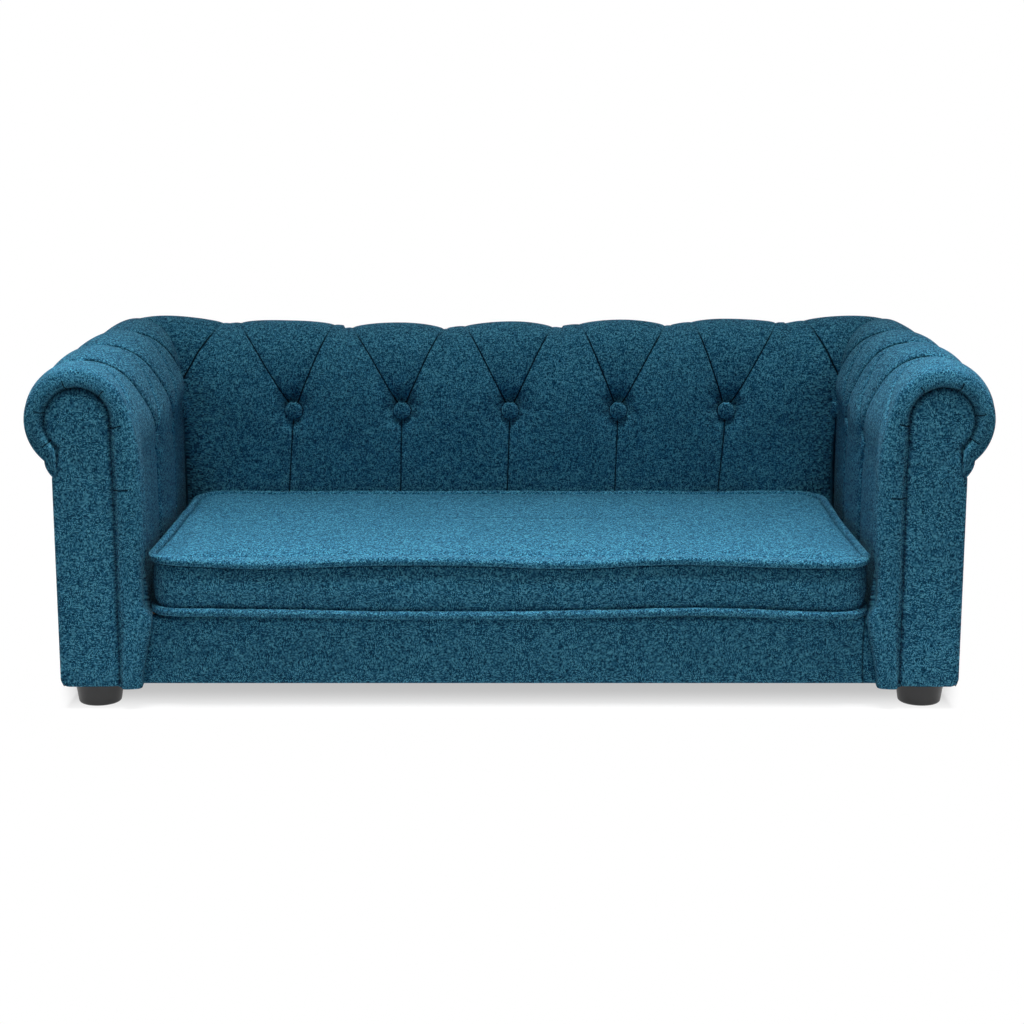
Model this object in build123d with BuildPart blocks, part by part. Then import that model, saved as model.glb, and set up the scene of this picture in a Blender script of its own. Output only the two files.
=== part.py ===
from build123d import *
import math
import os

os.makedirs("parts", exist_ok=True)

# Lengths are millimetres. +X is right, the front faces -Y, +Z is up. The origin is on the floor,
# under the middle of the sofa.

# Overall size
overall_width = 900
overall_depth = 464
overall_height = 325

# Rolled section, alike on the arms and the back. Reaches are measured outward from the inner
# face, and drops down from the middle of the roll.
roll_radius = 49
roll_lean = 9
rail_radius = 28
roll_foam = 10
pad_foam = 13
panel_thickness = 3
frame_reach = 81
outside_thickness = 2
tuck_drop = 48
bend_drop = 51
roll_end_angle = 50

# Tufting
tuft_pitch = 119
arm_tuft_pitch = 101
tuft_drop = 44
back_tuft_count = 5
arm_tuft_count = 2
first_arm_pleat = 98
corner_tuft_sink = 15.5
valley_depth = 7
puff = 3
pleat_width = 2
pleat_floor = 8.5
pleat_sink_share = 0.45
tuft_sink_share = 0.75
dimple_flare = 7
button_diameter = 19
button_thickness = 5
button_rim = 2
button_slack = 0.3
twine_diameter = 1.6
twine_play = 0.1
washer_diameter = 22
washer_thickness = 1.5
knot_diameter = 4

# Arm front
facing_thickness = 8
front_board_thickness = 12
facing_head_radius = 30
facing_inset = 27
facing_reach = 84
facing_neck_reach = 76
facing_shoulder_drop = 54
facing_corner_radius = 8
facing_edge_radius = 3
seam_gap = 0.8
front_edge_round = 6
front_strip_depth = 19

# Base
foot_height = 20
foot_diameter = 46
foot_taper = 3
foot_edge_radius = 3
foot_inset_x = 56
foot_inset_front = 30
foot_inset_rear = 26
screw_diameter = 4
screw_head_diameter = 12
screw_head_thickness = 3
screw_length = 34
screw_recess = 2
dust_cover_thickness = 1
rail_height = 50
rail_thickness = 22
deck_thickness = 9
deck_foam_thickness = 5
deck_cover_thickness = 1
rail_cover_thickness = 4
rail_cover_edge_radius = 1.5
cross_rail_spacing = 300
corner_block_leg = 60
tack_rail_height = 33
tack_rail_width = 18
post_side = 40
upright_width = 30
staple_length = 10
staple_width = 1
staple_height = 0.6
staple_inset = 12
staple_count_long = 9
staple_count_short = 4

# Loose seat cushion
cushion_gap_side = 4
cushion_gap_back = 6
cushion_gap_below = 0.3
cushion_thickness = 56
cushion_crown = 8
cushion_side_crown = 1
cushion_corner_radius = 34
cushion_draw_in = 3
piping_diameter = 6.8
piping_slack = 0.1
cover_cloth = 1.5

# Zip on the back boxing of the cushion, which ends this far from the faces of the arms
zip_inset = 93
zip_opening = 22
tape_width = 13
tape_thickness = 1
coil_width = 2.4
coil_thickness = 2.2
coil_gap = 1.6
slider_length = 11
slider_width = 9
slider_plate = 1.2
slider_post = 1
slider_play = 0.3
pull_length = 20
pull_width = 5
pull_thickness = 1.2
pull_boss = 1.2
slider_rest_inset = 14
foam_channel_depth = 5
foam_channel_width = 32
zip_stop = 2

overrun = 5

# Places that follow from these sizes
run_depth = roll_lean + 2 * roll_radius
roll_u = roll_lean + roll_radius
roll_z = overall_height - roll_radius
tuck_height = roll_z - tuck_drop
bend_height = roll_z - bend_drop
tuft_height = roll_z - tuft_drop
facing_shoulder_height = roll_z - facing_shoulder_drop
pad_depth = roll_u - rail_radius - panel_thickness
arm_face = overall_width / 2 - run_depth
back_face = overall_depth / 2 - run_depth
front = overall_depth / 2
foam_radius = rail_radius + roll_foam
foam_face = pad_depth - pad_foam
pleat_face = pleat_sink_share * roll_lean
tuft_face = tuft_sink_share * roll_lean
valley_radius = roll_radius - valley_depth
floor_radius = valley_radius - washer_thickness
rail_top = roll_z - rail_radius
base_low = foot_height + dust_cover_thickness
deck_low = base_low + rail_height
deck_top = deck_low + deck_thickness
seat_top = deck_top + deck_foam_thickness + deck_cover_thickness
board_front = front - facing_thickness
frame_front = board_front - front_board_thickness
board_behind = frame_reach - rail_thickness
floor_bend = tuft_height + button_diameter / 2 + button_slack

# Padded run of an arm or of the back. It is made along X, outward is +Y, and up is +Z.


def run_points(face, radius, low, bend):
    """Corners and arc middles of the section: inner face, bend into the roll, roll and tuck."""
    rise = roll_z - bend
    reach = roll_u - face
    blend = (reach**2 + rise**2 - radius**2) / (2 * (reach - radius))
    turn = math.degrees(math.atan2(rise, reach - blend))
    middle = math.radians((180 + turn) / 2)

    def on_roll(degrees):
        angle = math.radians(degrees)
        return (roll_u + radius * math.cos(angle), roll_z + radius * math.sin(angle))

    lip = on_roll(-roll_end_angle)
    tuck = (frame_reach + outside_thickness, tuck_height)
    drop = (lip[0] - tuck[0], lip[1] - tuck[1])
    corners = [(face, low), (face, bend), on_roll(turn), on_roll(90), lip, tuck]
    middles = [
        (face + blend + blend * math.cos(middle), bend + blend * math.sin(middle)),
        on_roll((turn + 90) / 2),
        on_roll((90 - roll_end_angle) / 2),
        ((lip[0] + tuck[0] + drop[1] / 3) / 2, (lip[1] + tuck[1] - drop[0] / 3) / 2),
    ]
    return corners, middles


def run_loft(stations):
    """Solid through stations of (place along the run, face, radius, low, bend)."""
    with BuildPart() as run:
        for place, face, radius, low, bend in stations:
            corners, middles = run_points(face, radius, low, bend)
            foot, knee, shoulder, crest, lip, tuck = corners
            with BuildSketch(Plane(origin=(place, 0, 0), x_dir=(0, 1, 0), z_dir=(1, 0, 0))):
                with BuildLine():
                    Line(foot, knee)
                    ThreePointArc(knee, middles[0], shoulder)
                    ThreePointArc(shoulder, middles[1], crest)
                    ThreePointArc(crest, middles[2], lip)
                    ThreePointArc(lip, middles[3], tuck)
                    Line(tuck, (roll_u, tuck_height))
                    Line((roll_u, tuck_height), (roll_u, low))
                    Line((roll_u, low), foot)
                make_face()
        loft(ruled=len(stations) == 2)
    return run.part


def tuft_station(place, radius):
    return (place, tuft_face, radius, deck_top, tuft_height)


def tuft_bay(start, peak, stop):
    """Bun over the roll, from one pleat over the button to the next pleat."""
    sides = (tuft_station(start, valley_radius), tuft_station(stop, valley_radius))
    return run_loft([sides[0], tuft_station(peak, roll_radius), sides[1]])


def corner_bay(pleat, peak, end):
    """Half a bun from a pleat to its button, then a run that sinks a little to the corner."""
    low_end = tuft_station(end, roll_radius - puff)
    quarter = tuft_station((pleat + peak) / 2, roll_radius - valley_depth / 4)
    half = [tuft_station(pleat, valley_radius), quarter, tuft_station(peak, roll_radius)]
    with BuildPart() as bay:
        add(run_loft(half if pleat < peak else half[::-1]))
        add(run_loft(sorted([half[2], low_end])))
    return bay.part


def lower_panel(start, crown, stop, at_open_end):
    """Puffed panel under a pleat of the roll, between the pleats below two buttons."""
    low_bend = tuft_height - button_diameter * 2
    low_radius = valley_radius + puff
    end = (stop, 0, roll_radius, deck_top, bend_height)
    if not at_open_end:
        end = (stop, pleat_face, low_radius, deck_top, tuft_height)
    with BuildPart() as panel:
        add(
            run_loft(
                [
                    (start, pleat_face, low_radius, deck_top, tuft_height),
                    (crown, -puff, valley_radius, deck_top, low_bend),
                    end,
                ]
            )
        )
        add(house(start, crown, stop, at_open_end), mode=Mode.INTERSECT)
    return panel.part


def house(start, crown, stop, at_open_end):
    """Space of one lower panel: up each side to a button, then to the pleat on the crest."""
    with BuildPart() as space:
        with BuildSketch(Plane.XZ.offset(roll_lean)):
            with BuildLine():
                Polyline(
                    (start, deck_top - overrun),
                    (stop, deck_top - overrun),
                    (stop, roll_z if at_open_end else tuft_height),
                    (crown, roll_z + valley_radius),
                    (start, tuft_height),
                    close=True,
                )
            make_face()
        extrude(amount=-(roll_lean + roll_u))
    return space.part


def pleat_slot(start, start_height, stop, stop_height):
    """Narrow slot of a pleat, straight as seen from in front of the run."""
    length = math.hypot(stop - start, stop_height - start_height)
    tilt = math.degrees(math.atan2(stop_height - start_height, stop - start))
    middle = ((start + stop) / 2, roll_u / 2 - roll_lean, (start_height + stop_height) / 2)
    with BuildPart() as slot:
        with Locations(Location(middle, (0, -tilt, 0))):
            Box(length, roll_u, pleat_width)
    return slot.part


def dimple(place):
    """Cone that the button draws into the padding."""
    depth = pleat_floor + puff * 2
    narrow = button_diameter / 2 + button_slack
    with BuildPart() as cone:
        with Locations(Location((place, pleat_floor - depth / 2, tuft_height), (90, 0, 0))):
            Cone(narrow, narrow + dimple_flare, depth)
    return cone.part


def tufted_run(tufts, valleys, start, stop, open_end):
    """Tufted cover of one run, solid inside. open_end marks the square end of an arm."""
    posts = tufts + ([stop] if open_end else [])
    spans = list(zip(posts, valleys, posts[1:]))
    with BuildPart() as run:
        add(corner_bay(valleys[0], tufts[0], start))
        for left, peak, right in zip(valleys, tufts[1:], valleys[1:]):
            add(tuft_bay(left, peak, right))
        if open_end:
            end = (stop, 0, roll_radius, deck_top, bend_height)
            add(run_loft([tuft_station(valleys[-1], valley_radius), end]))
        else:
            add(corner_bay(valleys[-1], tufts[-1], stop))
        for left, crown, right in spans:
            add(house(left, crown, right, open_end and right == stop), mode=Mode.SUBTRACT)
        for left, crown, right in spans:
            add(lower_panel(left, crown, right, open_end and right == stop))
        for left, crown, right in spans:
            crest = roll_z + roll_radius
            add(pleat_slot(left, tuft_height, crown, crest), mode=Mode.SUBTRACT)
            if not (open_end and right == stop):
                add(pleat_slot(crown, crest, right, tuft_height), mode=Mode.SUBTRACT)
        for place in tufts[1:] if open_end else tufts[1:-1]:
            add(pleat_slot(place, deck_top, place, tuft_height), mode=Mode.SUBTRACT)
            add(dimple(place), mode=Mode.SUBTRACT)
    return run.part


def plain_run(start, stop, face, radius, bend):
    """Straight run of the same section with no tufting."""
    return run_loft([(start, face, radius, deck_top, bend), (stop, face, radius, deck_top, bend)])


def between(x_low, x_high, y_low, y_high, z_low, z_high, mode=Mode.ADD):
    """Box between two corners, added to the open part."""
    middle = ((x_low + x_high) / 2, (y_low + y_high) / 2, (z_low + z_high) / 2)
    with Locations(middle):
        Box(x_high - x_low, y_high - y_low, z_high - z_low, mode=mode)


def write(piece, name):
    piece.label = name
    export_step(piece, f"parts/{name}.step")


def write_pair(stem, right):
    """The right piece of the arm's own frame, set in place, and its mirror image."""
    with BuildPart() as placed:
        with Locations(Location((arm_face, 0, 0), (0, 0, -90))):
            add(right)
    with BuildPart() as turned:
        add(placed.part)
        mirror(about=Plane.YZ, mode=Mode.REPLACE)
    write(placed.part, f"{stem}_right")
    write(turned.part, f"{stem}_left")


def write_back(piece, name):
    with BuildPart() as placed:
        with Locations((0, back_face, 0)):
            add(piece)
    write(placed.part, name)


# Where the runs meet: the arm's run lies along X here too, from its corner at -back_face to its
# front at +front, and the back's run from -arm_face to +arm_face, both widened by the mitre.
back_tufts = [
    tuft_pitch * (number - (back_tuft_count - 1) / 2) for number in range(back_tuft_count)
]
corner_place = arm_face + corner_tuft_sink
back_posts = [-corner_place] + back_tufts + [corner_place]
back_valleys = [(left + right) / 2 for left, right in zip(back_posts, back_posts[1:])]
arm_tufts = [
    front - first_arm_pleat - arm_tuft_pitch * (number - 1 / 2)
    for number in range(arm_tuft_count, 0, -1)
]
arm_valleys = [place - arm_tuft_pitch / 2 for place in arm_tufts] + [front - first_arm_pleat]
arm_posts = [-back_face - corner_tuft_sink] + arm_tufts
run_end = arm_face + run_depth + overrun
arm_end = back_face + run_depth + overrun

with BuildPart() as back_room:
    with BuildSketch():
        with BuildLine():
            Polyline(
                (-arm_face + overrun, -overrun),
                (arm_face - overrun, -overrun),
                (arm_face + run_depth + overrun, run_depth + overrun),
                (-arm_face - run_depth - overrun, run_depth + overrun),
                close=True,
            )
        make_face()
    extrude(amount=overall_height + overrun)

with BuildPart() as arm_room:
    with BuildSketch():
        with BuildLine():
            Polyline(
                (-back_face + overrun, -overrun),
                (front, -overrun),
                (front, run_depth + overrun),
                (-back_face - run_depth - overrun, run_depth + overrun),
                close=True,
            )
        make_face()
    extrude(amount=overall_height + overrun)

# Cone that a corner button draws into both runs, on the line of the mitre
corner_depth = corner_tuft_sink + puff * 2
corner_narrow = button_diameter / 2 + button_slack
corner_twine_length = math.sqrt(2) * (pad_depth - corner_tuft_sink) - twine_diameter / 2


def corner_dimple(inner_corner_x):
    """The corner dimple in a run's own frame, whose inner corner lies at inner_corner_x."""
    toward = math.copysign(1, inner_corner_x)
    reach = corner_depth / math.sqrt(2)
    with BuildPart() as cone:
        middle = (
            inner_corner_x + toward * (corner_tuft_sink - reach / 2),
            corner_tuft_sink - reach / 2,
            tuft_height,
        )
        with Locations(Location(middle, (90, -toward * 45, 0))):
            Cone(corner_narrow, corner_narrow + dimple_flare, corner_depth)
            Cylinder(twine_diameter / 2 + twine_play, corner_depth + 2 * corner_twine_length)
    return cone.part


def twine_hole(place):
    """Bore of a button's twine through padding and panel."""
    with BuildPart() as bore:
        with Locations(Location((place, pad_depth / 2, tuft_height), (90, 0, 0))):
            Cylinder(twine_diameter / 2 + twine_play, pad_depth + overrun * 2)
    return bore.part


def core(start, stop, board_side, low):
    """Space of the frame behind the foam: round rail, panel and the rails below them."""
    with BuildPart() as space:
        between(start, stop, board_side, frame_reach, low, rail_top)
        between(start, stop, board_side, roll_u, low, roll_z)
        with Locations(Location(((start + stop) / 2, roll_u, roll_z), (0, 90, 0))):
            Cylinder(rail_radius, stop - start)
    return space.part


with BuildPart() as back_skin:
    add(tufted_run(back_posts, back_valleys, -run_end, run_end, False))
    add(plain_run(-run_end, run_end, pleat_floor, floor_radius, floor_bend))
    add(plain_run(-run_end, run_end, foam_face, foam_radius, bend_height), mode=Mode.SUBTRACT)
    add(core(-run_end, run_end, pad_depth, 0), mode=Mode.SUBTRACT)
    add(back_room.part, mode=Mode.INTERSECT)
    for place in back_tufts:
        add(twine_hole(place), mode=Mode.SUBTRACT)
    for side in (-1, 1):
        add(corner_dimple(side * arm_face), mode=Mode.SUBTRACT)
write_back(back_skin.part, "back_cover")

with BuildPart() as back_padding:
    add(plain_run(-run_end, run_end, foam_face, foam_radius, bend_height))
    add(core(-run_end, run_end, pad_depth, 0), mode=Mode.SUBTRACT)
    add(back_room.part, mode=Mode.INTERSECT)
    for place in back_tufts:
        add(twine_hole(place), mode=Mode.SUBTRACT)
    for side in (-1, 1):
        add(corner_dimple(side * arm_face), mode=Mode.SUBTRACT)
write_back(back_padding.part, "back_foam")

# Arm covers: the tufted run, its front edge rolled round the facing, and the front strip


def keyhole(start, stop, spread):
    """Outline of the arm front, widened all round by spread."""
    shoulder = facing_shoulder_height
    reach = facing_reach + spread
    inset = facing_inset - spread
    neck = facing_neck_reach + spread
    low = foot_height - spread
    with BuildPart() as panel:
        with BuildSketch(Plane(origin=(start, 0, 0), x_dir=(0, 1, 0), z_dir=(1, 0, 0))) as outline:
            with BuildLine():
                Polyline(
                    (inset, low),
                    (reach, low),
                    (reach, shoulder),
                    (neck, shoulder + reach - neck),
                    (neck, roll_z),
                    (roll_u - facing_head_radius - spread, roll_z),
                    (inset, shoulder),
                    close=True,
                )
            make_face()
            with Locations((roll_u, roll_z)):
                Circle(facing_head_radius + spread)
            corner = outline.vertices().sort_by_distance((start, reach, low))[0]
            fillet(corner, facing_corner_radius)
        extrude(amount=stop - start)
    return panel.part


def front_station(setback, inset, radius_loss):
    return (front - setback, inset, roll_radius - radius_loss, foot_height, bend_height)


with BuildPart() as arm_front:
    add(
        run_loft(
            [
                front_station(front_edge_round, 0, 0),
                front_station(front_edge_round / 3, front_edge_round / 4, front_edge_round / 4),
                front_station(0, front_edge_round, front_edge_round),
            ]
        )
    )
    add(run_loft([front_station(front - frame_front, 0, 0), front_station(front_edge_round, 0, 0)]))

with BuildPart() as arm_skin:
    add(tufted_run(arm_posts, arm_valleys, -arm_end, frame_front, True))
    add(plain_run(-arm_end, frame_front, pleat_floor, floor_radius, floor_bend))
    add(arm_front.part)
    add(plain_run(-arm_end, board_front, foam_face, foam_radius, bend_height), mode=Mode.SUBTRACT)
    add(core(-arm_end, board_front, pad_depth, 0), mode=Mode.SUBTRACT)
    add(keyhole(board_front, front + overrun, seam_gap), mode=Mode.SUBTRACT)
    add(arm_room.part, mode=Mode.INTERSECT)
    for place in arm_tufts:
        add(twine_hole(place), mode=Mode.SUBTRACT)
    add(corner_dimple(-back_face), mode=Mode.SUBTRACT)
write_pair("arm_cover", arm_skin.part)

with BuildPart() as arm_padding:
    add(plain_run(-arm_end, board_front, foam_face, foam_radius, bend_height))
    add(core(-arm_end, board_front, pad_depth, 0), mode=Mode.SUBTRACT)
    add(arm_room.part, mode=Mode.INTERSECT)
    for place in arm_tufts:
        add(twine_hole(place), mode=Mode.SUBTRACT)
    add(corner_dimple(-back_face), mode=Mode.SUBTRACT)
write_pair("arm_foam", arm_padding.part)

with BuildPart() as facing:
    add(keyhole(board_front, front - pleat_width / 2, 0))
    fillet(facing.faces().sort_by(Axis.X)[-1].edges(), facing_edge_radius)
write_pair("arm_facing", facing.part)

with BuildPart() as front_board:
    add(core(frame_front, board_front, pad_depth, base_low))
write_pair("arm_front_board", front_board.part)

with BuildPart() as arm_panel:
    panel_back = -back_face - pad_depth
    between(panel_back, frame_front, pad_depth, pad_depth + panel_thickness, deck_top, roll_z)
    for place in arm_tufts:
        add(twine_hole(place), mode=Mode.SUBTRACT)
write_pair("arm_panel", arm_panel.part)

with BuildPart() as arm_rail:
    with Locations(Location(((frame_front - arm_end) / 2, roll_u, roll_z), (0, 90, 0))):
        Cylinder(rail_radius, frame_front + arm_end)
    add(arm_room.part, mode=Mode.INTERSECT)
write_pair("arm_rail", arm_rail.part)

with BuildPart() as arm_tack_rail:
    tack_back = -back_face - frame_reach + tack_rail_width
    tack_inner = frame_reach - tack_rail_width
    between(tack_back, frame_front, tack_inner, frame_reach, rail_top - tack_rail_height, rail_top)
write_pair("arm_tack_rail", arm_tack_rail.part)

with BuildPart() as arm_outside:
    outside_back = -back_face - frame_reach - outside_thickness
    outside_reach = frame_reach + outside_thickness
    between(outside_back, board_front, frame_reach, outside_reach, foot_height, tuck_height)
write_pair("arm_outside", arm_outside.part)

# Back panel, rails and outside panel

with BuildPart() as back_panel:
    panel_end = arm_face + pad_depth + panel_thickness
    between(-panel_end, panel_end, pad_depth, pad_depth + panel_thickness, deck_top, roll_z)
    for place in back_tufts:
        add(twine_hole(place), mode=Mode.SUBTRACT)
write_back(back_panel.part, "back_panel")

with BuildPart() as back_rail:
    with Locations(Location((0, roll_u, roll_z), (0, 90, 0))):
        Cylinder(rail_radius, run_end * 2)
    add(back_room.part, mode=Mode.INTERSECT)
write_back(back_rail.part, "back_rail")

frame_half_width = arm_face + frame_reach
with BuildPart() as back_tack_rail:
    tack_low = rail_top - tack_rail_height
    between(-frame_half_width, frame_half_width, tack_inner, frame_reach, tack_low, rail_top)
write_back(back_tack_rail.part, "back_tack_rail")

post_x = frame_half_width - post_side / 2
with BuildPart() as back_posts:
    for side in (-1, 1):
        with Locations((side * post_x, frame_reach - post_side / 2, deck_top)):
            Box(
                post_side,
                post_side,
                tack_low - deck_top,
                align=(Align.CENTER, Align.CENTER, Align.MIN),
            )
        with Locations((side * tuft_pitch, frame_reach - rail_thickness / 2, deck_top)):
            Box(
                upright_width,
                rail_thickness,
                tack_low - deck_top,
                align=(Align.CENTER, Align.CENTER, Align.MIN),
            )
write_back(back_posts.part, "back_posts")

with BuildPart() as back_outside:
    between(
        -frame_half_width,
        frame_half_width,
        frame_reach,
        frame_reach + outside_thickness,
        foot_height,
        tuck_height,
    )
write_back(back_outside.part, "back_outside")

# Buttons, their twine and washers


def facing_inward(place):
    """Frame on a run's button seat, its Z axis pointing at the dog."""
    return Location((place, pleat_floor, tuft_height), (90, 0, 0))


def button_at(location):
    """Covered button: a flat back, an upright rim and a domed face."""
    radius = button_diameter / 2
    with BuildPart() as button:
        with BuildSketch(Plane.XZ):
            with BuildLine():
                Line((0, 0), (radius, 0))
                Line((radius, 0), (radius, button_rim))
                RadiusArc((radius, button_rim), (0, button_thickness), -dome_radius)
                Line((0, button_thickness), (0, 0))
            make_face()
        revolve(axis=Axis.Z)
    with BuildPart() as placed:
        with Locations(location):
            add(button.part)
    return placed.part


dome_rise = button_thickness - button_rim
dome_radius = ((button_diameter / 2) ** 2 + dome_rise**2) / (2 * dome_rise)
back_place = Location((0, back_face, 0))
right_place = Location((arm_face, 0, 0), (0, 0, -90))
corner_seat = (corner_place, back_face + corner_tuft_sink, tuft_height)
corner_right = Location(corner_seat, (90, -45, 0))
corner_left = Location((-corner_seat[0], corner_seat[1], corner_seat[2]), (90, 45, 0))
back_button_places = (
    [corner_left] + [back_place * facing_inward(place) for place in back_tufts] + [corner_right]
)
for number, location in enumerate(back_button_places):
    write(button_at(location), f"back_button_{number + 1}")
with BuildPart() as right_buttons:
    for place in arm_tufts:
        add(button_at(right_place * facing_inward(place)))
with BuildPart() as left_buttons:
    add(right_buttons.part)
    mirror(about=Plane.YZ, mode=Mode.REPLACE)
write(right_buttons.part, "arm_buttons_right")
write(left_buttons.part, "arm_buttons_left")

washer_seat = pad_depth + panel_thickness
twine_length = washer_seat + washer_thickness + knot_diameter / 2 - pleat_floor
with BuildPart() as arm_twines:
    for place in arm_tufts:
        with Locations(right_place * facing_inward(place)):
            Cylinder(
                twine_diameter / 2,
                twine_length,
                align=(Align.CENTER, Align.CENTER, Align.MAX),
            )
        with Locations(right_place * Location((place, washer_seat, tuft_height), (90, 0, 0))):
            with Locations((0, 0, -washer_thickness)):
                Cylinder(
                    knot_diameter / 2,
                    knot_diameter / 2,
                    align=(Align.CENTER, Align.CENTER, Align.MAX),
                )
    mirror(about=Plane.YZ)
with BuildPart() as button_twines:
    add(arm_twines.part)
    for place in back_tufts:
        with Locations(back_place * facing_inward(place)):
            Cylinder(
                twine_diameter / 2,
                twine_length,
                align=(Align.CENTER, Align.CENTER, Align.MAX),
            )
        with Locations(back_place * Location((place, washer_seat, tuft_height), (90, 0, 0))):
            with Locations((0, 0, -washer_thickness)):
                Cylinder(
                    knot_diameter / 2,
                    knot_diameter / 2,
                    align=(Align.CENTER, Align.CENTER, Align.MAX),
                )
    for location in (corner_left, corner_right):
        with Locations(location):
            Cylinder(
                twine_diameter / 2,
                corner_twine_length,
                align=(Align.CENTER, Align.CENTER, Align.MAX),
            )
write(button_twines.part, "button_twines")

with BuildPart() as button_washers:
    for place in arm_tufts:
        with Locations(right_place * Location((place, washer_seat, tuft_height), (90, 0, 0))):
            Cylinder(
                washer_diameter / 2,
                washer_thickness,
                align=(Align.CENTER, Align.CENTER, Align.MAX),
            )
    mirror(about=Plane.YZ)
    for place in back_tufts:
        with Locations(back_place * Location((place, washer_seat, tuft_height), (90, 0, 0))):
            Cylinder(
                washer_diameter / 2,
                washer_thickness,
                align=(Align.CENTER, Align.CENTER, Align.MAX),
            )
    add(button_twines.part, mode=Mode.SUBTRACT)
write(button_washers.part, "button_washers")

# Base: feet and screws, rails, deck, dust cover

foot_x = overall_width / 2 - foot_inset_x
front_foot_y = -front + foot_inset_front
rear_foot_y = back_face + frame_reach - foot_inset_rear
foot_places = {
    "foot_front_left": (-foot_x, front_foot_y),
    "foot_front_right": (foot_x, front_foot_y),
    "foot_rear_left": (-foot_x, rear_foot_y),
    "foot_rear_right": (foot_x, rear_foot_y),
}
screw_seat = screw_head_thickness + screw_recess

with BuildPart() as foot:
    with BuildSketch(Plane.XZ):
        with BuildLine():
            Polyline(
                (0, 0),
                (foot_diameter / 2 - foot_taper, 0),
                (foot_diameter / 2, foot_height),
                (0, foot_height),
                close=True,
            )
        make_face()
    revolve(axis=Axis.Z)
    fillet(foot.edges().filter_by(GeomType.CIRCLE).group_by(Axis.Z)[0], foot_edge_radius)
    with Locations((0, 0, 0)):
        Cylinder(
            screw_head_diameter / 2,
            screw_seat,
            align=(Align.CENTER, Align.CENTER, Align.MIN),
            mode=Mode.SUBTRACT,
        )
        Cylinder(
            screw_diameter / 2,
            foot_height,
            align=(Align.CENTER, Align.CENTER, Align.MIN),
            mode=Mode.SUBTRACT,
        )
for name, place in foot_places.items():
    with BuildPart() as placed_foot:
        with Locations(place):
            add(foot.part)
    write(placed_foot.part, name)

with BuildPart() as foot_screws:
    for x_place, y_place in foot_places.values():
        with Locations((x_place, y_place, screw_seat)):
            Cylinder(
                screw_head_diameter / 2,
                screw_head_thickness,
                align=(Align.CENTER, Align.CENTER, Align.MAX),
            )
            Cylinder(
                screw_diameter / 2,
                screw_length,
                align=(Align.CENTER, Align.CENTER, Align.MIN),
            )
write(foot_screws.part, "foot_screws")

rail_rear = back_face + frame_reach
half_base = frame_half_width
side_front = -frame_front + rail_thickness
side_rear = rail_rear - rail_thickness
side_inner = half_base - rail_thickness
side_middle = (side_front + side_rear) / 2
with BuildPart() as front_rail:
    between(-half_base, half_base, -frame_front, side_front, base_low, deck_low)
    add(foot_screws.part, mode=Mode.SUBTRACT)
write(front_rail.part, "base_front_rail")

with BuildPart() as rear_rail:
    between(-half_base, half_base, side_rear, rail_rear, base_low, deck_low)
write(rear_rail.part, "base_back_rail")

for name, side in (("base_left_rail", -1), ("base_right_rail", 1)):
    with BuildPart() as side_rail:
        with Locations((side * (side_inner + rail_thickness / 2), side_middle, base_low)):
            Box(
                rail_thickness,
                side_rear - side_front,
                rail_height,
                align=(Align.CENTER, Align.CENTER, Align.MIN),
            )
    write(side_rail.part, name)

with BuildPart() as cross_rails:
    for side in (-1, 1):
        with Locations((side * cross_rail_spacing / 2, side_middle, base_low)):
            Box(
                rail_thickness,
                side_rear - side_front,
                rail_height,
                align=(Align.CENTER, Align.CENTER, Align.MIN),
            )
write(cross_rails.part, "base_cross_rails")

with BuildPart() as corner_blocks:
    for y_corner, toward in ((side_front, 1), (side_rear, -1)):
        with BuildSketch(Plane.XY.offset(base_low)):
            with BuildLine():
                Polyline(
                    (side_inner, y_corner),
                    (side_inner - corner_block_leg, y_corner),
                    (side_inner, y_corner + toward * corner_block_leg),
                    close=True,
                )
            make_face()
        extrude(amount=rail_height)
    mirror(about=Plane.YZ)
    add(foot_screws.part, mode=Mode.SUBTRACT)
write(corner_blocks.part, "corner_blocks")

with BuildPart() as deck_board:
    between(-frame_half_width, frame_half_width, -frame_front, rail_rear, deck_low, deck_top)
write(deck_board.part, "deck_board")

deck_half_width = arm_face - puff - seam_gap
deck_rear = back_face - puff - seam_gap
foam_top = deck_top + deck_foam_thickness
with BuildPart() as deck_foam:
    between(-deck_half_width, deck_half_width, -frame_front, deck_rear, deck_top, foam_top)
write(deck_foam.part, "deck_foam")

with BuildPart() as deck_cover:
    between(-deck_half_width, deck_half_width, -frame_front, deck_rear, foam_top, seat_top)
write(deck_cover.part, "deck_cover")

with BuildPart() as rail_cover:
    rail_cover_front = -frame_front - rail_cover_thickness
    half_width = arm_face - cushion_gap_below
    between(-half_width, half_width, rail_cover_front, -frame_front, foot_height, seat_top)
    fillet(rail_cover.faces().sort_by(Axis.Y)[0].edges().filter_by(Axis.X), rail_cover_edge_radius)
write(rail_cover.part, "front_rail_cover")

with BuildPart() as dust_cover:
    between(-frame_half_width, frame_half_width, -frame_front, rail_rear, foot_height, base_low)
    add(foot_screws.part, mode=Mode.SUBTRACT)
write(dust_cover.part, "dust_cover")

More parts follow.
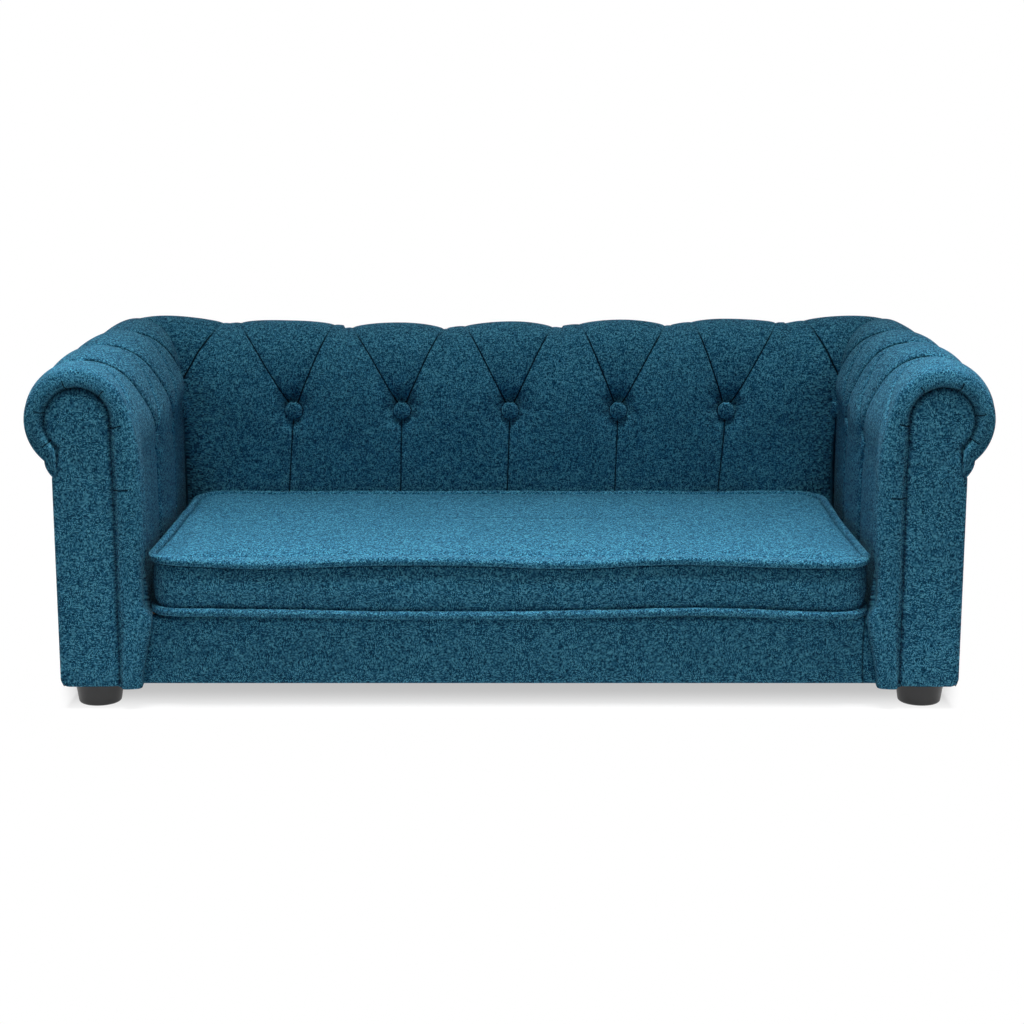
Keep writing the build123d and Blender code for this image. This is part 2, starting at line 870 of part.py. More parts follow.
staple_x = frame_half_width - staple_inset
staple_y_front = -frame_front + staple_inset
staple_y_rear = rail_rear - staple_inset
long_pitch = 2 * staple_x / (staple_count_long + 1)
short_pitch = (staple_y_rear - staple_y_front) / (staple_count_short + 1)
with BuildPart() as staples:
    for y_row in (staple_y_front, staple_y_rear):
        with Locations((0, y_row, foot_height)):
            with GridLocations(long_pitch, staple_inset, staple_count_long, 1):
                Box(
                    staple_length,
                    staple_width,
                    staple_height,
                    align=(Align.CENTER, Align.CENTER, Align.MAX),
                )
    for x_row in (-staple_x, staple_x):
        with Locations((x_row, (staple_y_front + staple_y_rear) / 2, foot_height)):
            with GridLocations(staple_inset, short_pitch, 1, staple_count_short):
                Box(
                    staple_width,
                    staple_length,
                    staple_height,
                    align=(Align.CENTER, Align.CENTER, Align.MAX),
                )
write(staples.part, "dust_cover_staples")

# Loose seat cushion

piping_radius = piping_diameter / 2
piping_inset = piping_radius + piping_slack
cushion_half = arm_face - cushion_gap_side - piping_radius
cushion_front = -front + piping_radius
cushion_rear = back_face - cushion_gap_back - piping_radius
cushion_low = seat_top + cushion_gap_below
low_piping = cushion_low + piping_radius
high_piping = cushion_low + cushion_thickness - piping_radius
boxing_low = low_piping + piping_inset
boxing_high = high_piping - piping_inset
cushion_middle = (cushion_front + cushion_rear) / 2
zip_height = (boxing_low + boxing_high) / 2
zip_length = 2 * (arm_face - zip_inset)


def cushion_prism(inset, low, high):
    """Upright prism on the cushion's outline, its front and sides drawn in between the corners."""
    half = cushion_half - inset
    near = cushion_front + inset
    far = cushion_rear - inset
    with BuildPart() as prism:
        with BuildSketch(Plane.XY.offset(low)) as outline:
            with BuildLine():
                ThreePointArc((-half, near), (0, near + cushion_draw_in), (half, near))
                ThreePointArc((half, near), (half - cushion_draw_in, cushion_middle), (half, far))
                Line((half, far), (-half, far))
                ThreePointArc((-half, far), (-half + cushion_draw_in, cushion_middle), (-half, near))
            make_face()
            fillet(outline.vertices(), cushion_corner_radius - inset)
        extrude(amount=high - low)
    return prism.part


def crowned(low, high):
    """Slab with a crowned top: nearly flat at the sides, highest in the middle."""
    with BuildPart() as crown:
        for side, rise in ((-1, cushion_side_crown), (0, cushion_crown), (1, cushion_side_crown)):
            with BuildSketch(
                Plane(origin=(side * (cushion_half + overrun), 0, 0), x_dir=(0, 1, 0), z_dir=(1, 0, 0))
            ):
                with BuildLine():
                    Polyline(
                        (cushion_front, high),
                        (cushion_front, low),
                        (cushion_rear, low),
                        (cushion_rear, high),
                    )
                    ThreePointArc(
                        (cushion_rear, high), (cushion_middle, high + rise), (cushion_front, high)
                    )
                make_face()
        loft()
    return crown.part


with BuildPart() as cushion_crown_room:
    add(crowned(boxing_high, high_piping))
    add(cushion_prism(piping_inset, boxing_high, high_piping + cushion_crown), mode=Mode.INTERSECT)

with BuildPart() as under_panel:
    with Locations((0, 0, -cover_cloth)):
        add(cushion_crown_room.part)

with BuildPart() as cushion_foam:
    add(cushion_prism(piping_inset, cushion_low + cover_cloth, boxing_low))
    add(cushion_prism(cover_cloth, boxing_low, boxing_high))
    with Locations((0, 0, -cover_cloth)):
        add(cushion_crown_room.part)
    between(
        -zip_length / 2 - overrun,
        zip_length / 2 + overrun,
        cushion_rear - foam_channel_depth,
        cushion_rear + overrun,
        zip_height - foam_channel_width / 2,
        zip_height + foam_channel_width / 2,
        mode=Mode.SUBTRACT,
    )
write(cushion_foam.part, "cushion_foam")

with BuildPart() as top_panel:
    add(cushion_crown_room.part)
    add(under_panel.part, mode=Mode.SUBTRACT)
    between(
        -overall_width / 2,
        overall_width / 2,
        -front,
        front,
        boxing_low,
        high_piping - cover_cloth,
        mode=Mode.SUBTRACT,
    )
write(top_panel.part, "cushion_top_panel")

with BuildPart() as bottom_panel:
    add(cushion_prism(piping_inset, cushion_low, cushion_low + cover_cloth))
write(bottom_panel.part, "cushion_bottom_panel")

with BuildPart() as boxing:
    add(cushion_prism(0, boxing_low, boxing_high))
    add(cushion_prism(cover_cloth, boxing_low, boxing_high), mode=Mode.SUBTRACT)
    between(
        -zip_length / 2,
        zip_length / 2,
        cushion_rear - foam_channel_depth,
        cushion_rear + overrun,
        zip_height - zip_opening / 2,
        zip_height + zip_opening / 2,
        mode=Mode.SUBTRACT,
    )
write(boxing.part, "cushion_boxing")

for name, level in (("cushion_piping_top", high_piping), ("cushion_piping_bottom", low_piping)):
    seam = cushion_prism(0, level, level + piping_radius).faces().sort_by(Axis.Z)[0].outer_wire()
    with BuildPart() as piping:
        with BuildSketch(Plane(origin=seam @ 0, z_dir=seam % 0)):
            Circle(piping_radius)
        sweep(path=seam)
    write(piping.part, name)

# Zip in the back boxing, closed at rest with its slider near the right end

tape_rear = cushion_rear - cover_cloth
coil_middle = tape_rear - tape_thickness / 2
with BuildPart() as zip_tapes:
    for side in (-1, 1):
        tape_inner = coil_gap / 2
        coil_outer = tape_inner + coil_width
        tape_outer = tape_inner + tape_width
        with Locations((0, coil_middle, zip_height + side * (tape_inner + coil_width / 2))):
            Box(zip_length, coil_thickness, coil_width)
        with Locations((0, coil_middle, zip_height + side * (coil_outer + tape_outer) / 2)):
            Box(zip_length, tape_thickness, tape_outer - coil_outer)
        with Locations((side * (zip_length - zip_stop) / 2, coil_middle, zip_height)):
            Box(zip_stop, coil_thickness, coil_gap)
write(zip_tapes.part, "zip_tapes")

slider_rest = zip_length / 2 - slider_rest_inset
outer_plate = coil_middle + coil_thickness / 2 + slider_play
inner_plate = coil_middle - coil_thickness / 2 - slider_play
slider_low = slider_rest - slider_length / 2
slider_high = slider_rest + slider_length / 2
with BuildPart() as zip_slider:
    for y_near, y_far in (
        (outer_plate, outer_plate + slider_plate),
        (inner_plate - slider_plate, inner_plate),
    ):
        between(
            slider_low,
            slider_high,
            y_near,
            y_far,
            zip_height - slider_width / 2,
            zip_height + slider_width / 2,
        )
    fillet(zip_slider.edges().filter_by(Axis.Y), slider_width / 3)
    between(
        slider_low + slider_plate,
        slider_high - slider_plate,
        inner_plate,
        outer_plate,
        zip_height - slider_post / 2,
        zip_height + slider_post / 2,
    )
    with Locations((slider_rest, outer_plate + slider_plate, zip_height)):
        Box(
            slider_length / 2,
            pull_boss,
            slider_post * 2,
            align=(Align.CENTER, Align.MIN, Align.CENTER),
        )
write(zip_slider.part, "zip_slider")

with BuildPart() as zip_pull:
    pull_near = outer_plate + slider_plate + pull_boss
    with BuildSketch(Plane.XZ.offset(-pull_near)):
        with Locations((slider_rest, zip_height)):
            SlotOverall(pull_length, pull_width)
        with Locations((slider_rest - pull_length / 2 + pull_width / 2, zip_height)):
            Circle(pull_width / 4, mode=Mode.SUBTRACT)
    extrude(amount=-pull_thickness)
write(zip_pull.part, "zip_pull")
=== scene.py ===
import math
from collections import namedtuple

import bpy
import numpy as np
from mathutils.bvhtree import BVHTree
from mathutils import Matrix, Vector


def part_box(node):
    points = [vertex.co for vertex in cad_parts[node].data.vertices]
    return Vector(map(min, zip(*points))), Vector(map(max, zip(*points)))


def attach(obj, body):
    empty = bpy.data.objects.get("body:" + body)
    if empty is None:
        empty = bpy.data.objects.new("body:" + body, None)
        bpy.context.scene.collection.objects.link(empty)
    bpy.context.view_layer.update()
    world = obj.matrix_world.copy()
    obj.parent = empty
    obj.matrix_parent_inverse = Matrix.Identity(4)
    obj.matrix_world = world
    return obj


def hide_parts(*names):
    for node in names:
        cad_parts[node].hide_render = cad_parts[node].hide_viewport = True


# The sofa as packed: every piece stands where it is at rest. Sizes here are metres, the origin is on
# the floor under the middle of the sofa, the front faces -Y and Z is up.
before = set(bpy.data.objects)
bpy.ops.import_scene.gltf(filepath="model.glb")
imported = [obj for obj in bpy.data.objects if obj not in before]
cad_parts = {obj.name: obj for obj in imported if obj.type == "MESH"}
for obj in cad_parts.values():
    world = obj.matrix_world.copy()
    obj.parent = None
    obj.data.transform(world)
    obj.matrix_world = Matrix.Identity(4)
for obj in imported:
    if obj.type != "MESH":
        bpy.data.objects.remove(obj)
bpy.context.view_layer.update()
scene = bpy.context.scene
scene.view_settings.view_transform = "Standard"


def middle_of(node):
    low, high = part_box(node)
    return (low + high) / 2


# Studio. The camera stands in front at a seated child's eye height and looks slightly down, over a
# white floor that runs out to a white surround. A soft lamp with a grid hangs above and a little in
# front, with weaker ones in front and behind.
camera_place = (0.0022, -2.113, 0.567)
camera_tilt = math.radians(11.3)
lens_mm = 72.42
bpy.ops.object.camera_add(location=camera_place, rotation=(math.pi / 2 - camera_tilt, 0, 0))
camera = bpy.context.object
camera.data.lens = lens_mm
camera.data.sensor_width = 36
scene.camera = camera


def new_material(name):
    made = bpy.data.materials.new(name)
    made.use_nodes = True
    return made, made.node_tree, made.node_tree.nodes["Principled BSDF"]


def set_values(node, **values):
    """Sets a node's inputs by name, with _ for a blank."""
    for key, value in values.items():
        node.inputs[key.replace("_", " ")].default_value = value


def add_node(tree, kind, settings=None, **inputs):
    made = tree.nodes.new(kind)
    for key, value in (settings or {}).items():
        setattr(made, key, value)
    set_values(made, **inputs)
    return made


def feed(tree, slots, values):
    """Puts values into inputs, each a socket or a plain value."""
    for slot, value in zip(slots, values):
        if hasattr(value, "links"):
            tree.links.new(value, slot)
        else:
            slot.default_value = value


def sum_of(tree, first, second, operation="ADD", clamp=False):
    """A Math node on two values, each a socket or a number."""
    made = add_node(tree, "ShaderNodeMath", {"operation": operation, "use_clamp": clamp})
    feed(tree, made.inputs, (first, second))
    return made.outputs[0]


def white_where_seen(tree):
    """One for a ray from the camera, a mirror or glass, and nothing for the light itself."""
    path = add_node(tree, "ShaderNodeLightPath")
    seen = sum_of(tree, path.outputs["Is Camera Ray"], path.outputs["Is Glossy Ray"], "ADD", True)
    return sum_of(tree, seen, path.outputs["Is Transmission Ray"], "ADD", True)


floor_half = 6.0
floor_tone = 0.50
floor_glow = 0.52
shadow_half, shadow_fade = (0.42, 0.155), 0.105
bpy.ops.mesh.primitive_circle_add(vertices=96, radius=floor_half, fill_type="NGON")
floor = bpy.context.object
floor.name = "studio_floor"
floor_finish, tree, shader = new_material("white_floor")
set_values(shader, Base_Color=(floor_tone, floor_tone, floor_tone, 1), Roughness=1,
           Specular_IOR_Level=0)
place = add_node(tree, "ShaderNodeTexCoord")
parts = add_node(tree, "ShaderNodeSeparateXYZ")
tree.links.new(place.outputs["Object"], parts.inputs[0])
past = []
for axis, half in zip("XY", shadow_half):
    off_middle = sum_of(tree, parts.outputs[axis], 0, "ABSOLUTE")
    past.append(sum_of(tree, sum_of(tree, off_middle, half, "SUBTRACT"), 0, "MAXIMUM"))
past_end, past_side = past
away = sum_of(tree, sum_of(tree, past_end, 4, "MULTIPLY"), past_side)
fade = add_node(tree, "ShaderNodeMapRange", {"interpolation_type": "SMOOTHSTEP"})
set_values(fade, From_Min=0, From_Max=shadow_fade)
tree.links.new(away, fade.inputs["Value"])
glow = add_node(tree, "ShaderNodeEmission")
seen = white_where_seen(tree)
tree.links.new(sum_of(tree, seen, floor_glow, "MULTIPLY"), glow.inputs["Strength"])
both = add_node(tree, "ShaderNodeAddShader")
tree.links.new(shader.outputs[0], both.inputs[0])
tree.links.new(glow.outputs[0], both.inputs[1])
plain_white = add_node(tree, "ShaderNodeEmission")
ends = add_node(tree, "ShaderNodeMixShader")
tree.links.new(sum_of(tree, seen, fade.outputs["Result"], "MULTIPLY"), ends.inputs["Fac"])
tree.links.new(both.outputs[0], ends.inputs[1])
tree.links.new(plain_white.outputs[0], ends.inputs[2])
tree.links.new(ends.outputs[0], tree.nodes["Material Output"].inputs["Surface"])
floor.data.materials.append(floor_finish)

room_light = 0.13
world = bpy.data.worlds.new("studio")
scene.world = world
world.use_nodes = True
tree = world.node_tree
sky = tree.nodes["Background"]
sky.inputs["Color"].default_value = (1, 1, 1, 1)
seen = white_where_seen(tree)
level = sum_of(tree, sum_of(tree, seen, 1 - room_light, "MULTIPLY"), room_light, "ADD")
tree.links.new(level, sky.inputs["Strength"])

for name, spot, turn, size, power, spread in (
    ("top_lamp", (0.0, -0.44, 2.15), (0, 0, 0), (1.7, 0.5), 8.2, 46),
    ("front_lamp", (0.0, -3.2, 1.7), (math.radians(64), 0, 0), (1.6, 1.2), 3.0, 180),
    ("rear_lamp", (0.0, 3.0, 1.6), (math.radians(-66), 0, 0), (2.0, 1.0), 7, 180),
):
    bpy.ops.object.light_add(type="AREA", location=spot, rotation=turn)
    lamp = bpy.context.object
    lamp.name = name
    lamp.data.shape = "RECTANGLE"
    lamp.data.size, lamp.data.size_y = size
    lamp.data.spread = math.radians(spread)
    lamp.data.energy = power

# Timber frame. Planed softwood rails, posts and blocks, glued and screwed, with three round rails that
# carry the rolls. Cloth closes it all in, so the wood is left raw.
def link_vector(tree, x, y, z):
    made = add_node(tree, "ShaderNodeCombineXYZ")
    feed(tree, made.inputs, (x, y, z))
    return made.outputs[0]


def noise_at(tree, vector, scale, detail=1.0):
    made = add_node(tree, "ShaderNodeTexNoise", Scale=scale, Detail=detail)
    tree.links.new(vector, made.inputs["Vector"])
    return made.outputs["Fac"]


def stretch(tree, value, low, high):
    """The value spread from low and high to nought and one, and cut off there."""
    made = add_node(tree, "ShaderNodeMapRange", From_Min=low, From_Max=high)
    tree.links.new(value, made.inputs["Value"])
    return made.outputs["Result"]


def mix_colours(tree, factor, first, second):
    made = add_node(tree, "ShaderNodeMix", {"data_type": "RGBA"})
    slots = [next(s for s in made.inputs if s.name == key and (key == "Factor" or s.type == "RGBA"))
             for key in ("Factor", "A", "B")]
    feed(tree, slots, (factor, first, second))
    return made.outputs["Result"] if made.outputs[0].type == "RGBA" else made.outputs[2]


def node_group(name, inputs, outputs):
    """An empty effect with named sockets: the group, its inputs, its outputs."""
    made = bpy.data.node_groups.new(name, "ShaderNodeTree")
    kinds = {"vector": "NodeSocketVector", "value": "NodeSocketFloat", "colour": "NodeSocketColor"}
    for way, sockets in (("INPUT", inputs), ("OUTPUT", outputs)):
        for socket, kind in sockets.items():
            made.interface.new_socket(name=socket, in_out=way, socket_type=kinds[kind])
    return made, made.nodes.new("NodeGroupInput"), made.nodes.new("NodeGroupOutput")


def use_group(tree, group, vector, **values):
    made = add_node(tree, "ShaderNodeGroup", {"node_tree": group})
    tree.links.new(vector, made.inputs["Vector"])
    set_values(made, **values)
    return made


def object_place(tree, turned=(0, 0, 0), spread=(1, 1, 1)):
    """Object coordinates, turned so that a grain or weave runs with the piece."""
    place = add_node(tree, "ShaderNodeTexCoord")
    mapping = add_node(tree, "ShaderNodeMapping", Rotation=turned, Scale=spread)
    tree.links.new(place.outputs["Object"], mapping.inputs["Vector"])
    return mapping.outputs["Vector"]


def raise_surface(tree, shader, height, strength, depth):
    bump = add_node(tree, "ShaderNodeBump", Strength=strength, Distance=depth)
    tree.links.new(height, bump.inputs["Height"])
    tree.links.new(bump.outputs["Normal"], shader.inputs["Normal"])


def tone_between(tree, shader, factor, dark, pale):
    tree.links.new(mix_colours(tree, factor, dark, pale), shader.inputs["Base Color"])


def vary_roughness(tree, shader, source, low, high):
    worn = add_node(tree, "ShaderNodeMapRange", To_Min=low, To_Max=high)
    tree.links.new(source, worn.inputs["Value"])
    tree.links.new(worn.outputs["Result"], shader.inputs["Roughness"])


def dress(finish, *names):
    """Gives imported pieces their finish."""
    for name in names:
        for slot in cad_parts[name].material_slots:
            slot.material = finish


wood_grain, given, result = node_group(
    "wood_grain", {"Vector": "vector", "Pale": "colour", "Dark": "colour", "Lines": "value"},
    {"Color": "colour", "Height": "value"},
)
long_way = add_node(wood_grain, "ShaderNodeVectorMath", {"operation": "MULTIPLY"})
long_way.inputs[1].default_value = (0.05, 1, 1)
wood_grain.links.new(given.outputs["Vector"], long_way.inputs[0])
lines = add_node(wood_grain, "ShaderNodeVectorMath", {"operation": "SCALE"})
wood_grain.links.new(long_way.outputs[0], lines.inputs[0])
wood_grain.links.new(given.outputs["Lines"], lines.inputs["Scale"])
bands = noise_at(wood_grain, lines.outputs[0], 1.0, 4.0)
pores = noise_at(wood_grain, lines.outputs[0], 9.0, 2.0)
tone = sum_of(wood_grain, sum_of(wood_grain, bands, 0.75, "MULTIPLY"),
              sum_of(wood_grain, pores, 0.25, "MULTIPLY"))
shaded = mix_colours(wood_grain, stretch(wood_grain, tone, 0.36, 0.64),
                     given.outputs["Dark"], given.outputs["Pale"])
wood_grain.links.new(shaded, result.inputs["Color"])
wood_grain.links.new(pores, result.inputs["Height"])


def wood(name, pale, dark, lines, turned=(0, 0, 0), spread=(1, 1, 1), roughness=0.68):
    made, tree, shader = new_material(name)
    grain = use_group(tree, wood_grain, object_place(tree, turned, spread), Pale=pale, Dark=dark,
                      Lines=lines)
    tree.links.new(grain.outputs["Color"], shader.inputs["Base Color"])
    raise_surface(tree, shader, grain.outputs["Height"], 0.3, 0.0003)
    shader.inputs["Roughness"].default_value = roughness
    return made


quarter = math.pi / 2
pine_pale, pine_dark = (0.66, 0.47, 0.27, 1), (0.45, 0.28, 0.14, 1)
dress(wood("pine_across", pine_pale, pine_dark, 150.0), "base_front_rail", "base_back_rail",
      "back_tack_rail", "back_rail")
dress(wood("pine_from_front", pine_pale, pine_dark, 150.0, (0, 0, quarter)), "base_left_rail",
      "base_right_rail", "base_cross_rails", "arm_rail_left", "arm_rail_right", "arm_tack_rail_left",
      "arm_tack_rail_right")
dress(wood("pine_upright", pine_pale, pine_dark, 150.0, (0, quarter, 0)), "back_posts", "corner_blocks")

# Boards. The deck and the two keyhole arm fronts are birch plywood, glued of thin plies that show on
# their edges; the three thin panels behind the padding are brown hardboard, nailed to the frame.
ply_pale, ply_dark = (0.70, 0.54, 0.35, 1), (0.48, 0.33, 0.18, 1)
dress(wood("birch_plywood_deck", ply_pale, ply_dark, 260.0, spread=(1, 1, 5)), "deck_board")
dress(wood("birch_plywood_upright", ply_pale, ply_dark, 260.0, (quarter, 0, 0), (1, 1, 5)),
      "arm_front_board_left", "arm_front_board_right")
dress(wood("brown_hardboard", (0.33, 0.20, 0.11, 1), (0.21, 0.12, 0.06, 1), 900.0, spread=(20, 1, 1),
           roughness=0.8), "arm_panel_left", "arm_panel_right", "back_panel")

# Padding. Blocks and sheets of cream polyurethane foam, cut to shape and glued over the round rails and
# the deck, with open cells on every cut side.
foam, tree, shader = new_material("cut_foam")
cells = add_node(tree, "ShaderNodeTexVoronoi", Scale=700.0)
tree.links.new(object_place(tree), cells.inputs["Vector"])
tone_between(tree, shader, stretch(tree, cells.outputs["Distance"], 0.1, 0.7),
             (0.62, 0.56, 0.40, 1), (0.86, 0.82, 0.68, 1))
raise_surface(tree, shader, cells.outputs["Distance"], 0.5, 0.0008)
shader.inputs["Roughness"].default_value = 0.95
dress(foam, "deck_foam")

# Ties and fixings. Waxed twine runs from each button through the padding to a steel washer behind the
# panel; steel screws hold the feet and steel staples hold the dust cover.
steel, tree, shader = new_material("zinc_plated_steel")
streaks = noise_at(tree, object_place(tree, spread=(1, 1, 6)), 900.0, 2.0)
vary_roughness(tree, shader, streaks, 0.26, 0.46)
tone_between(tree, shader, streaks, (0.52, 0.53, 0.54, 1), (0.72, 0.73, 0.74, 1))
shader.inputs["Metallic"].default_value = 1
dress(steel, "button_washers", "foot_screws", "dust_cover_staples")
twine, tree, shader = new_material("waxed_twine")
strands = add_node(tree, "ShaderNodeTexWave", {"bands_direction": "DIAGONAL"}, Scale=260.0, Distortion=1.5)
tree.links.new(object_place(tree), strands.inputs["Vector"])
tone_between(tree, shader, strands.outputs["Fac"], (0.42, 0.33, 0.20, 1), (0.74, 0.65, 0.46, 1))
raise_surface(tree, shader, strands.outputs["Fac"], 0.5, 0.0003)
shader.inputs["Roughness"].default_value = 0.7
dress(twine, "button_twines")

# Upholstery cloth: a plain linen-look weave of teal and blue-grey melange yarns a little under a
# millimetre thick, each yarn darker and lighter along its length. All outside covers are cut from it.
cloth_dark = (0.006, 0.043, 0.087, 1)
cloth_middle = (0.026, 0.146, 0.260, 1)
cloth_light = (0.110, 0.420, 0.590, 1)
threads_per_metre = 1030

weave, given, result = node_group(
    "linen_weave",
    {"Vector": "vector", "Threads": "value", "Dark": "colour", "Middle": "colour", "Light": "colour"},
    {"Color": "colour", "Height": "value"},
)
scaled = add_node(weave, "ShaderNodeVectorMath", {"operation": "SCALE"})
weave.links.new(given.outputs["Vector"], scaled.inputs[0])
weave.links.new(given.outputs["Threads"], scaled.inputs["Scale"])
parts = add_node(weave, "ShaderNodeSeparateXYZ")
weave.links.new(scaled.outputs[0], parts.inputs[0])
across, along = parts.outputs["X"], parts.outputs["Y"]
column = sum_of(weave, across, 0, "FLOOR")
row = sum_of(weave, along, 0, "FLOOR")
over = sum_of(weave, sum_of(weave, column, row), 2, "FLOORED_MODULO")
warp_spot = link_vector(weave, sum_of(weave, column, 5.37, "MULTIPLY"),
                        sum_of(weave, along, 0.27, "MULTIPLY"), 3.1)
weft_spot = link_vector(weave, sum_of(weave, across, 0.27, "MULTIPLY"),
                        sum_of(weave, row, 7.91, "MULTIPLY"), 8.3)
warp_tone = noise_at(weave, warp_spot, 1.0, 1.0)
weft_tone = noise_at(weave, weft_spot, 1.0, 1.0)
under = sum_of(weave, 1, over, "SUBTRACT")
crossing = sum_of(weave, sum_of(weave, over, 0.36, "MULTIPLY"), 0.32)
tone = sum_of(weave, sum_of(weave, warp_tone, crossing, "MULTIPLY"),
              sum_of(weave, weft_tone, sum_of(weave, 1, crossing, "SUBTRACT"), "MULTIPLY"))
speck = add_node(weave, "ShaderNodeTexWhiteNoise", {"noise_dimensions": "2D"})
weave.links.new(link_vector(weave, column, row, 0.0), speck.inputs["Vector"])
speck_share = 0.26
tone = sum_of(weave, sum_of(weave, tone, 1 - speck_share, "MULTIPLY"),
              sum_of(weave, speck.outputs["Value"], speck_share, "MULTIPLY"))
blotch = noise_at(weave, given.outputs["Vector"], 55.0, 3.0)
tone = sum_of(weave, tone, sum_of(weave, sum_of(weave, blotch, 0.5, "SUBTRACT"), 0.05, "MULTIPLY"))
lower_half = stretch(weave, tone, 0.37, 0.50)
upper_half = stretch(weave, tone, 0.50, 0.66)
colour = mix_colours(weave, lower_half, given.outputs["Dark"], given.outputs["Middle"])
colour = mix_colours(weave, upper_half, colour, given.outputs["Light"])
weave.links.new(colour, result.inputs["Color"])


def hump(tree, place):
    """Round back of one thread, nought at its sides."""
    offset = sum_of(tree, sum_of(tree, place, 0, "FRACT"), 0.5, "SUBTRACT")
    fall = sum_of(tree, sum_of(tree, offset, offset, "MULTIPLY"), 4, "MULTIPLY")
    return sum_of(tree, 1, fall, "SUBTRACT")


raised = sum_of(weave, sum_of(weave, hump(weave, across), over, "MULTIPLY"),
                sum_of(weave, hump(weave, along), under, "MULTIPLY"))
raised = sum_of(weave, raised, sum_of(weave, tone, 0.6, "MULTIPLY"))
weave.links.new(raised, result.inputs["Height"])


def cloth_material(name, painted_shade_lines=False, tints=(cloth_dark, cloth_middle, cloth_light),
                   threads=threads_per_metre, sheen=0.05):
    """Woven cloth on a piece's own UV map, which is laid out in metres."""
    made, tree, shader = new_material(name)
    place = add_node(tree, "ShaderNodeTexCoord")
    cloth = use_group(tree, weave, place.outputs["UV"], Threads=threads, Dark=tints[0],
                      Middle=tints[1], Light=tints[2])
    colour = cloth.outputs["Color"]
    # Painted shade: a near-black line along pleats, seams, under the piping and round the buttons.
    if painted_shade_lines:
        colour = paint_crease_shade(tree, colour)
    tree.links.new(colour, shader.inputs["Base Color"])
    raise_surface(tree, shader, cloth.outputs["Height"], 0.55, 0.0006)
    set_values(shader, Roughness=0.92, Specular_IOR_Level=0.05, Sheen_Weight=sheen, Sheen_Roughness=0.42,
               Sheen_Tint=(0.62, 0.82, 0.90, 1))
    return made


def paint_crease_shade(tree, colour):
    """Painted shade: a dark line where two folds of a pleat meet, under a piping cord, along a seam and
    round a button, drawn from the distances kept on the mesh.
    """
    seam = add_node(tree, "ShaderNodeAttribute", {"attribute_name": "painted_shade_distance"})
    weight = add_node(tree, "ShaderNodeAttribute", {"attribute_name": "painted_shade_weight"})
    parts = add_node(tree, "ShaderNodeSeparateXYZ")
    tree.links.new(seam.outputs["Vector"], parts.inputs[0])
    weights = add_node(tree, "ShaderNodeSeparateXYZ")
    tree.links.new(weight.outputs["Vector"], weights.inputs[0])
    line = None
    for axis in "XYZ":
        near = sum_of(tree, parts.outputs[axis], 0, "ABSOLUTE")
        closeness = stretch(tree, near, 0.0012, 0.0004)
        drawn = sum_of(tree, closeness, weights.outputs[axis], "MULTIPLY")
        line = drawn if line is None else sum_of(tree, line, drawn, "MAXIMUM")
    return mix_colours(tree, line, colour, (0.002, 0.010, 0.016, 1))


# The covers' cloth has shade painted into its creases, seams and button rims.
cloth_with_painted_shade = cloth_material("upholstery_with_painted_shade", painted_shade_lines=True)
plain_cloth = cloth_material("upholstery_cloth")

# Tufted covers of the back and the two arms: cloth over foam, drawn into a deep seat at each button,
# pleated up to the crest of the roll and down to the seat. They meet in a mitre in each corner.
roll_middle = middle_of("arm_rail_right")
roll_z = roll_middle.z
roll_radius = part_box("arm_cover_right")[1].x - roll_middle.x
roll_lean = 0.009
roll_u = roll_radius + roll_lean
arm_face = roll_middle.x - roll_u
back_face = middle_of("back_rail").y - roll_u
front_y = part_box("arm_cover_right")[0].y
deck_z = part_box("deck_board")[1].z
strip_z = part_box("front_rail_cover")[0].z
tuck_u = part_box("arm_outside_right")[1].x - arm_face
tuck_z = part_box("arm_outside_right")[1].z
bend_z = 0.225
lip_angle = math.radians(-50)
rise = roll_z - bend_z
bend_radius = (roll_u**2 + rise**2 - roll_radius**2) / (2 * (roll_u - roll_radius))
turn_angle = math.atan2(rise, roll_u - bend_radius)
bend_length = bend_radius * (math.pi - turn_angle)
crest_climb = bend_length + roll_radius * (turn_angle - math.pi / 2)
lip_climb = bend_length + roll_radius * (turn_angle - lip_angle)
tuft_climb = middle_of("back_button_4").z - bend_z
slant_seen = 0.16
tuft_seen = middle_of("back_button_4").z
crest_seen = roll_z + roll_radius + slant_seen * roll_u


def smooth(value, low, high):
    share = np.clip((value - low) / (high - low), 0, 1)
    return share * share * (3 - 2 * share)


def bell(value, width):
    """One at nought, falling away on both sides."""
    return np.exp(-((value / width) ** 2))


def outer_rows():
    """Rows of the section from the foot of the inner face over the roll to the tuck under it:
    climb from the bend, outward place u, height z and the outward normal. On the face the climb is
    a share of its height, because an arm's front strip reaches lower than the rest."""
    face = [(-1 + share, 0.0, None, -1.0, 0.0) for share in np.linspace(0, 0.42, 12)]
    face += [(-1 + share, 0.0, None, -1.0, 0.0) for share in np.linspace(0.42, 1, 48)[1:-1]]
    rows = list(face)
    for turn in np.linspace(math.pi, turn_angle, 38):
        rows.append((bend_radius * (math.pi - turn), bend_radius + bend_radius * math.cos(turn),
                     bend_z + bend_radius * math.sin(turn), math.cos(turn), math.sin(turn)))
    for turn in np.linspace(turn_angle, lip_angle, 94)[1:]:
        rows.append((bend_length + roll_radius * (turn_angle - turn),
                     roll_u + roll_radius * math.cos(turn),
                     roll_z + roll_radius * math.sin(turn), math.cos(turn), math.sin(turn)))
    lip_u, lip_z = rows[-1][1], rows[-1][2]
    behind_u, behind_z = tuck_u - 0.0014, tuck_z - 0.006
    for share in np.linspace(0, 1, 6)[1:]:
        bulge = 4 * share * (1 - share) * 0.002
        rows.append((lip_climb + share * 0.012, lip_u + (behind_u - lip_u) * share + bulge,
                     lip_z + (behind_z - lip_z) * share, 0.9, -0.43))
    return rows


foam_u, foam_radius = 0.0192, 0.0335
wood_u, wood_radius = 0.0266, 0.0284


